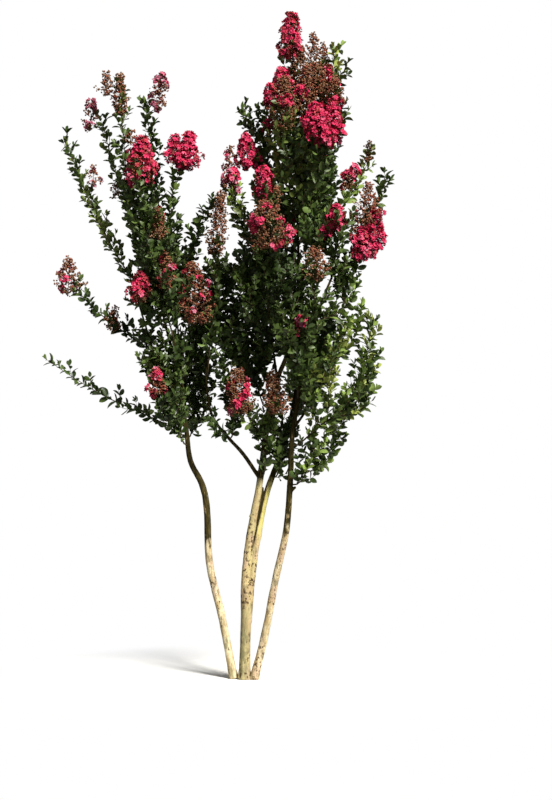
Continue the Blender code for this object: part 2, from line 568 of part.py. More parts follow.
class Space:
    """What is already taken: every closed shape so far, with its owner, for clearance tests."""

    def __init__(self):
        self.taken = []

    def add(self, owner, part, shape):
        corners = [Vector(v) for v in shape[0]]
        low = Vector([min(v[i] for v in corners) for i in range(3)])
        high = Vector([max(v[i] for v in corners) for i in range(3)])
        tree = BVHTree.FromPolygons(corners, shape[1])
        self.taken.append((owner, part, tree, low, high))

    def touched(self, shape, owner, allowed=()):
        """The first taken shape that this one crosses or lies in, or None."""
        corners = [Vector(v) for v in shape[0]]
        low = Vector([min(v[i] for v in corners) - CLEARANCE for i in range(3)])
        high = Vector([max(v[i] for v in corners) + CLEARANCE for i in range(3)])
        tree = BVHTree.FromPolygons(corners, shape[1])
        middle = sum(corners, Vector()) / len(corners)
        for other, part, taken, other_low, other_high in self.taken:
            if other == owner and part in allowed:
                continue
            if any(low[i] > other_high[i] or high[i] < other_low[i] for i in range(3)):
                continue
            if tree.overlap(taken):
                return other, part
            spot, normal, _, _ = taken.find_nearest(middle)
            if part.startswith(("core", "bloom")) and (middle - spot).dot(normal) < 0:
                return other, part
        return None


def leaf_shape(root, direction, side, length, extra=1.0):
    """A kite-shaped leaf of six faces that droops a little, from its root to its tip."""
    up = side.cross(direction).normalized()
    width = length * LEAF_WIDTH * 0.5 * (1 + (extra - 1) * GUARD_SPREAD)
    widest = root + direction * (length * LEAF_WIDEST)
    droop = Vector((0, 0, -1)) * (length * LEAF_DROOP)
    thick = up * (length * LEAF_THICKNESS * extra)
    corners = [root, widest - side * width, widest + side * width, widest + thick,
               root + direction * length + droop]
    if extra > 1:
        corners.append(widest - thick)
        faces = [(0, 2, 3), (0, 3, 1), (4, 1, 3), (4, 3, 2), (0, 1, 5), (0, 5, 2), (4, 2, 5), (4, 5, 1)]
    else:
        faces = [(0, 2, 3), (0, 3, 1), (4, 1, 3), (4, 3, 2), (0, 1, 2), (4, 2, 1)]
    return corners, faces


def bloom_shape(centre, length, width, chance):
    """A ragged cone of blossom: rings round an upright axis, each corner pushed in or out."""
    levels, sides = BIG_BLOOM_RINGS if width > BIG_BLOOM_WIDTH else SMALL_BLOOM_RINGS
    lean_x = chance.uniform(-BLOOM_LEAN, BLOOM_LEAN)
    lean_y = chance.uniform(-BLOOM_LEAN, BLOOM_LEAN)
    lean = Vector((lean_x, lean_y, 1)).normalized()
    foot = centre - lean * (length / 2)
    corners = [foot]
    for i in range(levels):
        share = (i + 0.6) / (levels + 0.15)
        profile = math.sin(math.pi * min(1.0, 0.18 + 0.82 * share ** 0.75)) ** 0.7
        for k in range(sides):
            angle = 2 * math.pi * (k + 0.5 * (i % 2)) / sides
            radius = width / 2 * profile * chance.uniform(*BLOOM_RAGGED)
            rise = length * share + chance.uniform(-BLOOM_STEP, BLOOM_STEP) * length
            corners.append(foot + lean * rise
                           + Vector((math.cos(angle) * radius, math.sin(angle) * radius, 0)))
    corners.append(foot + lean * length)
    return corners, ring_faces(levels, sides)


def ring_faces(levels, sides):
    """Triangles between a foot corner, rings of corners and a top corner."""
    faces = []
    top = levels * sides + 1
    for k in range(sides):
        n = (k + 1) % sides
        faces.append((0, 1 + n, 1 + k))
        faces.append((top, top - sides + k, top - sides + n))
        for i in range(levels - 1):
            a = 1 + i * sides
            b = a + sides
            faces.append((a + k, a + n, b + n))
            faces.append((a + k, b + n, b + k))
    return faces


def core_shape(core, chance):
    """The dense heart of a mass: a lumpy ball, taller than wide."""
    x, y, z, half_width, half_height = core
    levels, sides = CORE_RINGS
    corners = [Vector((x, y, z - half_height))]
    for i in range(levels):
        level = CORE_RING_RISE * (i - 1)
        for k in range(sides):
            angle = 2 * math.pi * (k + 0.5 * (i % 2)) / sides
            radius = half_width * math.sqrt(1 - level * level) * chance.uniform(*CORE_RAGGED)
            corners.append(Vector((x + math.cos(angle) * radius, y + math.sin(angle) * radius,
                                   z + level * half_height)))
    corners.append(Vector((x, y, z + half_height)))
    return corners, ring_faces(levels, sides)


def taper(count, foot, tip):
    return [foot + (tip - foot) * i / max(1, count - 1) for i in range(count)]


def root_seat(limb, tree, height, target):
    """Where a stem meets its limb, the gap off its surface, and which way that surface faces."""
    if height is None:
        across = limb.tip_direction()
        return limb.line[-1] + across * GAP, across
    centre, radius = limb.at_height(height)
    away = target - centre
    away.z *= STEM_LEVEL
    away.normalize()
    spot, normal, _, _ = tree.ray_cast(centre + away * radius * 4, -away)
    return spot + normal * GAP, normal


def nearest_on(line, place):
    """The index of the line's point nearest to a place."""
    return min(range(len(line)), key=lambda i: (line[i] - place).length_squared)


def grow_bones(name, mass, limbs, trees, chance):
    """A mass's shoots, flower heads and core: named closed shapes, and its shoots' lines."""
    shapes = {}
    lines = []
    first = [Vector(p) for p in mass.shoots[0]]
    start, across = root_seat(limbs[mass.limb], trees[mass.limb], mass.height, first[0])
    foot_radius = STEM_RADIUS
    if mass.height is None:
        foot_radius = min(STEM_RADIUS * 1.1, limbs[mass.limb].radii[-1])
    for i, places in enumerate(mass.shoots):
        points = [Vector(p) for p in places]
        if i == 0:
            run = [start, start + across * STEM_RUN] + points
            line, _ = smooth_line(run, SHOOT_STEP)
            radii = taper(len(line), foot_radius, STEM_TIP_RADIUS)
            shapes["shoot_0"] = tube(line, radii, STEM_SIDES, root_plane=across)
        else:
            stem = lines[0]
            joint = stem[nearest_on(stem, points[0])]
            line, _ = smooth_line([joint] + points[1:], SHOOT_STEP)
            shapes[f"shoot_{i}"] = tube(line, taper(len(line), TWIG_RADIUS, TWIG_TIP_RADIUS), TWIG_SIDES)
        lines.append(line)
    for i, (x, y, z, length, width) in enumerate(mass.blooms):
        centre = Vector((x, y, z))
        shapes[f"bloom_{i}"] = bloom_shape(centre, length, width, chance)
        heart = centre - Vector((0, 0, length * STALK_SEAT))
        ends = [line[nearest_on(line, heart)] for line in lines]
        joint = min(ends, key=lambda p: (p - heart).length)
        if (joint - heart).length > STALK_REACH:
            joint = lowest_near(lines, joint, heart)
            shapes[f"stalk_{i}"] = tube([joint, heart], [TWIG_RADIUS, TWIG_TIP_RADIUS], TWIG_SIDES)
    if mass.core:
        shapes["core"] = core_shape(mass.core, chance)
    return shapes, lines


def lowest_near(lines, joint, heart):
    """A shoot's point a little below the nearest one, so that a stalk rises from it."""
    for line in lines:
        if joint in line:
            i = nearest_on(line, joint)
            while i > 1 and line[i].z > heart.z - STALK_REACH:
                i -= 1
            return line[i]
    return joint


def walk(line, step, start):
    """Points along a line at even steps, each with its tangent and its share of the length."""
    total = sum((b - a).length for a, b in zip(line, line[1:]))
    wanted = start
    run = 0.0
    found = []
    for a, b in zip(line, line[1:]):
        length = (b - a).length
        while wanted <= run + length and wanted <= total:
            found.append((a.lerp(b, (wanted - run) / length), (b - a).normalized(), wanted / total))
            wanted += step
        run += length
    return found


def outward(tangent, angle):
    """A direction across a tangent, at an angle round it."""
    across = tangent.cross(ACROSS_SHOOTS).normalized()
    return across * math.cos(angle) + tangent.cross(across) * math.sin(angle)


def grow_leaves(name, mass, carrier, line, start, space, leaves, chance):
    """Pairs of leaves along a shoot or twig, each pair turned from the last, and one at the tip."""
    turn = chance.uniform(0, math.pi)
    for point, tangent, _ in walk(line, mass.leaf * LEAF_STEP, start):
        for half in (0, math.pi):
            add_leaf(name, mass, carrier, point, tangent, turn + half, space, leaves, chance)
        turn += PAIR_TURN
    along = (line[-1] - line[-2]).normalized()
    add_leaf(name, mass, carrier, line[-1] - along * TIP_LEAF_SEAT, along, None, space, leaves, chance)


def add_leaf(name, mass, carrier, root, along, angle, space, leaves, chance):
    """One leaf, tried a few ways round until it touches nothing. No angle means straight on."""
    for _ in range(LEAF_TRIES):
        lift = math.radians(chance.uniform(*LEAF_LIFT))
        direction = along
        if angle is not None:
            radial = outward(along, angle + chance.uniform(-LEAF_SWAY, LEAF_SWAY))
            direction = (along * math.cos(lift) + radial * math.sin(lift)).normalized()
        length = mass.leaf * chance.uniform(*LEAF_SIZE)
        side = direction.cross(Vector((0.1, 0.2, 1))).normalized()
        roll = chance.uniform(-LEAF_ROLL, LEAF_ROLL)
        side = side * math.cos(roll) + direction.cross(side) * math.sin(roll)
        foot = root + direction * ROOT_STEP
        guard = leaf_shape(foot, direction, side, length * GUARD_LENGTH, GUARD_THICKNESS)
        if not space.touched(guard, name, {carrier}):
            space.add(name, f"leaf_{len(leaves)}", guard)
            leaves.append(leaf_shape(foot, direction, side, length))
            return


def grow_twigs(name, mass, lines, space, chance):
    """Side twigs set round each shoot by the golden angle, within the mass's reach."""
    twigs = []
    turn = chance.uniform(0, math.pi)
    for i, line in enumerate(lines):
        count = mass.twigs if i == 0 else mass.twigs // 2
        if not count:
            continue
        total = sum((b - a).length for a, b in zip(line, line[1:]))
        first = total * FIRST_TWIG
        for point, tangent, share in walk(line, (total - first) / count, first):
            turn += GOLDEN_ANGLE
            lift = math.radians(chance.uniform(*TWIG_LIFT))
            profile = math.sqrt(max(0.2, 1 - (1.8 * share - 0.95) ** 2))
            length = (mass.reach * profile - mass.leaf * 0.3) / math.sin(lift)
            radial = outward(tangent, turn)
            end = point + (tangent * math.cos(lift) + radial * math.sin(lift)) * max(length, mass.leaf * 0.6)
            twig = [point, end + Vector((0, 0, TWIG_RISE * length))]
            shape = tube(twig, [TWIG_RADIUS, TWIG_TIP_RADIUS], TWIG_SIDES)
            part = f"twig_{len(twigs)}"
            if not space.touched(shape, name, {f"shoot_{i}", "core"}):
                space.add(name, part, shape)
                twigs.append((part, twig, shape))
    return twigs


def grow_on_core(name, mass, space, leaves, chance):
    """Leaves that stand out of a core on all sides, spread by the golden angle."""
    x, y, z, half_width, half_height = mass.core
    for i in range(CORE_LEAVES):
        level = 0.9 - 1.6 * (i + 0.5) / CORE_LEAVES
        angle = GOLDEN_ANGLE * i
        flat = math.sqrt(1 - level * level)
        out = Vector((math.cos(angle) * flat, math.sin(angle) * flat, level))
        place = Vector((x + out.x * half_width, y + out.y * half_width, z + out.z * half_height))
        direction = (out + Vector((0, 0, CORE_LEAF_UP))).normalized()
        add_leaf(name, mass, "core", place - direction * mass.leaf * 0.3, direction, None,
                 space, leaves, chance)


def merged(shapes):
    """Several closed shapes that don't touch, as one."""
    corners = []
    faces = []
    for shape in shapes:
        offset = len(corners)
        corners.extend(shape[0])
        faces.extend(tuple(i + offset for i in face) for face in shape[1])
    return corners, faces


def build_masses(limbs, objects):
    """Bones of all masses first, so that every leaf then knows what it has to keep clear of."""
    space = Space()
    trees = {}
    for name, made in objects.items():
        corners = [v.co.copy() for v in made.data.vertices]
        faces = [tuple(face.vertices) for face in made.data.polygons]
        trees[name] = BVHTree.FromPolygons(corners, faces)
        space.add(name, "limb", (corners, faces))
    bones = {}
    for i, (name, mass) in enumerate(MASSES.items()):
        shapes, lines = grow_bones(name, mass, limbs, trees, random.Random(SEED + i))
        for part, shape in shapes.items():
            space.add(name, part, shape)
        bones[name] = (shapes, lines)
    for i, (name, mass) in enumerate(MASSES.items()):
        shapes, lines = bones[name]
        chance = random.Random(SEED * 100 + i)
        twigs = grow_twigs(name, mass, lines, space, chance)
        leaves = []
        for part, twig, _ in twigs:
            grow_leaves(name, mass, part, twig, mass.leaf * 0.4, space, leaves, chance)
        for k, line in enumerate(lines):
            length = sum((b - a).length for a, b in zip(line, line[1:]))
            grow_leaves(name, mass, f"shoot_{k}", line, length * mass.bare, space, leaves, chance)
        if mass.core:
            grow_on_core(name, mass, space, leaves, chance)
        made = fuse(name, list(shapes.values()) + [shape for _, _, shape in twigs] + [merged(leaves)])
        finish(made, mass.colour)


def main():
    clear_scene()
    limbs, objects = build_limbs()
    build_masses(limbs, objects)


main()
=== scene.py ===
"""Crape myrtle: bark, twigs, leaves, blossom and seed heads, grown round the packed solids of the tree.

Units are metres and +Z is up. The limbs follow the same named places as the solids, and each mass of
foliage grows on from its limb by the same rule: shoots, side sprays set by the golden angle, leaf pairs.
"""
import math
import random
from dataclasses import dataclass, field

import bpy
import numpy as np
from bpy.props import FloatProperty, FloatVectorProperty, PointerProperty
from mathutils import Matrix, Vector, noise


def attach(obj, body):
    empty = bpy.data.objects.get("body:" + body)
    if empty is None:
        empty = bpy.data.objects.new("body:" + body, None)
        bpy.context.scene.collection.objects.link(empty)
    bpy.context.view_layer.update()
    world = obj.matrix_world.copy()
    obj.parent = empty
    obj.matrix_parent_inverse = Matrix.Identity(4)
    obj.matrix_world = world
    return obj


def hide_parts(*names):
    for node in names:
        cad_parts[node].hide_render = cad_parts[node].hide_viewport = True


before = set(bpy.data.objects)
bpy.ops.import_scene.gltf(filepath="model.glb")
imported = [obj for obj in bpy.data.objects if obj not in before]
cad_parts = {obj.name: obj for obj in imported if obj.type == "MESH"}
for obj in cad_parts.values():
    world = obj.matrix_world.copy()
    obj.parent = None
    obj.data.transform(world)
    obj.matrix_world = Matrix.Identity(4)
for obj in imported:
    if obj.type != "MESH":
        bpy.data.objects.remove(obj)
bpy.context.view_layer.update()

bl_info = {
    "name": "Crape myrtle",
    "version": (1, 0, 0),
    "blender": (4, 5, 0),
    "location": "3D View > Sidebar > Crape myrtle",
    "description": "Grows the bark, twigs, leaves, blossom and seed heads of a crape myrtle on its limbs",
    "category": "Object",
}

BODY = "root"
SEED = 41
GOLDEN_ANGLE = math.radians(137.508)
UP = Vector((0, 0, 1))

# Trunks by name: places (x, y, z) and the radius at each. A neck is the part of the middle trunk that leads
# into one of its two stems.
TRUNKS = {
    "trunk_left": (
        [(-0.068, 0.018, 0), (-0.138, 0.05, 0.354), (-0.215, 0.055, 0.69), (-0.229, 0.05, 1.0),
         (-0.258, 0.045, 1.16), (-0.330, 0.035, 1.31), (-0.352, 0.03, 1.49), (-0.372, 0.03, 1.62)],
        [0.0240, 0.0230, 0.0225, 0.0200, 0.0190, 0.0165, 0.0145, 0.0125],
    ),
    "trunk_right": (
        [(0.052, -0.006, 0), (0.098, -0.02, 0.174), (0.134, -0.04, 0.342), (0.186, -0.06, 0.618),
         (0.246, -0.085, 0.894), (0.270, -0.11, 1.19), (0.282, -0.12, 1.45), (0.325, -0.165, 1.74)],
        [0.0255, 0.0240, 0.0225, 0.0210, 0.0195, 0.0180, 0.0155, 0.0125],
    ),
    "trunk_centre": (
        [(-0.002, 0, 0), (0.003, 0, 0.25), (0.009, 0, 0.42), (0.014, 0, 0.57)],
        [0.0340, 0.0310, 0.0325, 0.0320],
    ),
    "neck_left": (
        [(0.000, 0, 0.34), (-0.001, 0, 0.564), (0.015, 0, 0.74), (0.031, 0, 0.86)],
        [0.0240, 0.0240, 0.0240, 0.0240],
    ),
    "neck_right": (
        [(0.020, 0, 0.34), (0.0375, 0.005, 0.564), (0.057, 0.012, 0.74), (0.076, 0.02, 0.86)],
        [0.0205, 0.0210, 0.0210, 0.0210],
    ),
}
# Stems, which go on from a neck's end: the neck, the places after it, and the radii at the foot and the tip.
STEMS = {
    "stem_centre": (
        "neck_left",
        [(0.056, 0, 1.0), (0.084, 0, 1.15), (0.117, 0, 1.4), (0.140, 0, 1.6), (0.19, 0, 1.79),
         (0.26, 0, 1.97), (0.31, 0, 2.21), (0.32, 0, 2.51), (0.31, 0, 2.90)],
        0.0240, 0.0075,
    ),
    "stem_right": (
        "neck_right",
        [(0.101, 0.03, 1.0), (0.141, 0.05, 1.15), (0.21, 0.09, 1.34), (0.28, 0.15, 1.58),
         (0.35, 0.21, 1.98), (0.41, 0.26, 2.35), (0.45, 0.28, 2.60)],
        0.0235, 0.0065,
    ),
}
# Boughs: the parent, the height at which the bough leaves it (none is its end), places and the two radii.
BOUGHS = {
    "bough_left_up": (
        "trunk_left", None, [(-0.42, 0.03, 1.88), (-0.48, 0.04, 2.13), (-0.54, 0.04, 2.37)], 0.0125,
        0.0065),
    "bough_left_outer": (
        "trunk_left", 1.48, [(-0.44, 0.0, 1.72), (-0.54, -0.02, 1.95), (-0.62, -0.02, 2.20)], 0.0095,
        0.0060),
    "bough_left_front": (
        "trunk_left", 1.56, [(-0.375, -0.10, 1.80), (-0.42, -0.22, 2.05)], 0.0090, 0.0060),
    "bough_left_back": (
        "trunk_left", 1.53, [(-0.375, 0.16, 1.78), (-0.42, 0.30, 2.10)], 0.0090, 0.0060),
    "bough_middle": (
        "stem_centre", 1.20, [(-0.01, -0.02, 1.35), (-0.10, -0.04, 1.45), (-0.19, -0.06, 1.57),
        (-0.225, -0.07, 1.73), (-0.23, -0.07, 1.96)], 0.0130, 0.0065),
    "bough_front": (
        "stem_centre", 1.80, [(0.165, -0.13, 2.0), (0.14, -0.26, 2.22)], 0.0090, 0.0060),
    "bough_upper_left": (
        "stem_centre", 2.20, [(0.21, -0.05, 2.40), (0.11, -0.09, 2.56)], 0.0080, 0.0055),
    "bough_back": (
        "stem_right", 1.72, [(0.30, 0.33, 2.02), (0.25, 0.42, 2.32)], 0.0090, 0.0060),
    "bough_right_up": (
        "trunk_right", None, [(0.39, -0.20, 2.03), (0.46, -0.22, 2.26), (0.52, -0.20, 2.41)], 0.0125,
        0.0065),
    "bough_right_low": (
        "trunk_right", 1.50, [(0.40, -0.14, 1.67), (0.48, -0.12, 1.84)], 0.0090, 0.0060),
}
# Pieces of bark: the limbs that each one covers.
BARK_GROUPS = {
    "bark_left": ["trunk_left", "bough_left_up", "bough_left_outer", "bough_left_front", "bough_left_back"],
    "bark_centre": ["trunk_centre", "neck_left", "neck_right", "stem_centre", "stem_right", "bough_middle",
                    "bough_front", "bough_upper_left", "bough_back"],
    "bark_right": ["trunk_right", "bough_right_up", "bough_right_low"],
}
# Small forms on the bark: the group they join, their places and their radii.
KNOBS = (
    # The first is a web of bark between the two middle stems, which the painted crevice shade darkens.
    ("bark_centre",
     [(0.050, 0.012, 0.86), (0.076, 0.016, 1.01), (0.0975, 0.024, 1.11), (0.108, 0.028, 1.15)],
     [0.012, 0.013, 0.016, 0.005]),
    ("bark_centre", [(0.052, -0.004, 0.972), (0.034, -0.006, 0.978), (0.026, -0.007, 0.982)],
     [0.014, 0.012, 0.006]),
    ("bark_right", [(0.268, -0.105, 1.125), (0.292, -0.112, 1.150), (0.304, -0.114, 1.158)],
     [0.011, 0.0085, 0.0075]),
)
# Limbs: how much a trunk widens at the ground and over what height, how far apart the points of a limb are,
# and how many sides it has.
FLARE = 0.32
FLARE_HEIGHT = 0.045
LIMB_STEP = 0.03
BARK_SIDES = 24
# How far each round moves the bark's corners towards their neighbours. The rounds outwards keep its girth.
BARK_SMOOTHING = (0.6, -0.35, 0.6, -0.35, 0.5)

# Leaves: what share of them is missing, how far each pair is turned from the last, how far along a line they
# begin to shrink, how far the two at a tip lean apart, and how much they face up, outwards and by chance.
MISSING_LEAVES = 0.06
PAIR_TURN = math.radians(82)
SHRINK_FROM = 0.62
TIP_LEAN = 0.35
FACING = (0.55, 0.55, 0.45)

# Sprays: how far a mass's stem leaves its limb before it bends, the reach of a side shoot's sprays against
# the stem's, the shortest side spray, and the length from which it carries finer ones.
COLLAR = 0.03
SIDE_SHOOT_REACH = 0.85
SHORTEST_SPRAY = 0.045
FINER_FROM = 0.11

# Heads: how lumpy the outline is, the scale and the size of their clusters, the room that a flower takes as
# a share of its square, the width that a seed case takes and how far it strays, and the radii of the stalks.
HEAD_LUMPS = 0.60
CLUSTER_SCALE = 12.0
CLUSTER_SIZE = 0.021
FLOWER_ROOM = 0.62
CASE_ROOM = 0.0150
CASE_SCATTER = 0.0085
SIDE_STALK = [0.0013, 0.0010, 0.0007]
CASE_STALK = [0.0007, 0.0005]
FLOWER_STALK = [0.0009, 0.0007]
# The share of its height at which a head is widest, and its widths at the foot and the tip against that.
WIDEST = 0.25
HEAD_FOOT = 0.58
HEAD_TIP = 0.24

# The kinds of socket that the node groups have.
COLOUR = "NodeSocketColor"
NUMBER = "NodeSocketFloat"

# Bark: its colours, how much heights are scaled in its noises, and its masks, each with one of those
# scalings, a scale, the noise at which it begins and is full, its detail and its roughness.
BARK_COLOURS = ("cream", "yellow", "tan", "rose", "grey", "fleck", "old", "ridge")
BARK_SPACES = {"tall": 0.40, "streaked": 0.11, "round": 0.8}
BARK_MASKS = {
    "patches": ("tall", 26.0, 0.43, 0.57, 5.0, 0.62),
    "rose": ("tall", 17.0, 0.53, 0.62, 3.0),
    "grey": ("tall", 33.0, 0.56, 0.63, 5.0),
    "streaks": ("streaked", 150.0, 0.48, 0.70, 3.0),
    "grains": ("tall", 230.0, 0.49, 0.64, 2.0),
    "flecks": ("round", 52.0, 0.548, 0.578, 4.0, 0.68),
    "crowded": ("tall", 10.0, 0.40, 0.52, 2.0),
    "scars": ("round", 27.0, 0.612, 0.632, 6.0, 0.74),
    "blotches": ("tall", 34.0, 0.34, 0.52, 5.0, 0.70),
    "ridges": ("streaked", 190.0, 0.44, 0.74, 4.0, 0.65),
    "bared": ("tall", 40.0, 0.62, 0.67, 4.0),
}
# The layers over the cream, from the lowest: mask, strength and colour.
BARK_LAYERS = (("patches", 1.0, "Tan"), ("rose", 0.65, "Rose"), ("grey", 0.70, "Grey"),
               ("streaks", 0.35, "Tan"), ("grains", 0.44, "Grey"))
# How strong the flecks are between the places where they crowd.
SPARSE_FLECKS = 0.12
# The stained foot: the heights over which the stain fades, and its share from left to right.
STAIN_HEIGHTS = (0.50, 0.30)
STAIN_SIDES = (0.024, -0.006, 0.40, 1.0)
# The lower edge of the painted crown shadow, which darkens the bark above a height: its noise, how far that
# moves it, and how wide it is.
SHADOW_EDGE_NOISE = (26.0, 4.0)
SHADOW_EDGE_WAVE = 0.30
SHADOW_EDGE = (0.14, 0.18)
# The heights over which painted crown shade darkens the bark further inside the crown.
CROWN_SHADE_HEIGHTS = (1.25, 1.50)
# Painted crevice shade between the middle stems, from the left stem's edge to a line that opens upwards
# across the right stem, and the painted sunlit side to the right of it.
CREVICE_SHADE_LEANS = (0.18, 0.218)
CREVICE_SHADE_LEFT = (-0.1030, -0.0990)
CREVICE_SHADE_RIGHT = (0.1180, 0.1225)
CREVICE_SHADE_HEIGHTS = (0.72, 0.84)
CREVICE_SHADE_WAVER = 0.012
SUNLIT_SIDE = (0.1200, 0.1140)
SUNLIT_HEIGHTS = (0.78, 0.95)
SUNLIT_SHARE = 0.75
# The strength and the depth of the bump.
BARK_BUMP = (0.6, 0.0012)
BARK_SHINE = 0.12
# Waves to a metre along each axis in the relief of the bark, and the height of its grain.
RIB_WAVES = (46, 46, 2.6)
FLAKE_WAVES = (34, 34, 13)
GRAIN_WAVES = (120, 120, 30)
GRAIN_HEIGHT = 0.0004

# Growth by kind: how dark its shade is, its roughness, the scales of its patches and veins, and its shine.
GROWTH_LOOKS = {
    "twig": (0.55, 0.62, 60.0, 700.0, 0.3),
    "stalk": (0.6, 0.62, 60.0, 700.0, 0.3),
    "leaf": (0.46, 0.36, 34.0, 300.0, 0.36),
    "petal": (0.72, 0.55, 90.0, 520.0, 0.2),
    "seed_case": (0.5, 0.6, 110.0, 900.0, 0.3),
}
GROWTH_BUMP = (0.35, 0.0006)
# How much lighter the underside of a leaf is.
UNDERSIDE = 1.25
FLOOR_HEIGHT = -0.0005


@dataclass
class Mass:
    """One mass of foliage, rooted on its limb as its solid is.

    It leaves the limb at a height, or at the limb's end. The first shoot is the stem and the others branch
    from it. Reach is how far its side sprays go, density is how many there are for each metre of shoot, and
    greens has one letter for each likely leaf colour. A head is (kind, x, y, z, length, width). Bare is the
    share of a shoot that has no leaves, and finer is how many finer sprays a side spray carries.
    """

    limb: str
    height: float | None
    shoots: list
    reach: float
    density: float
    greens: str
    heads: list = field(default_factory=list)
    bare: float = 0.1
    finer: int = 0


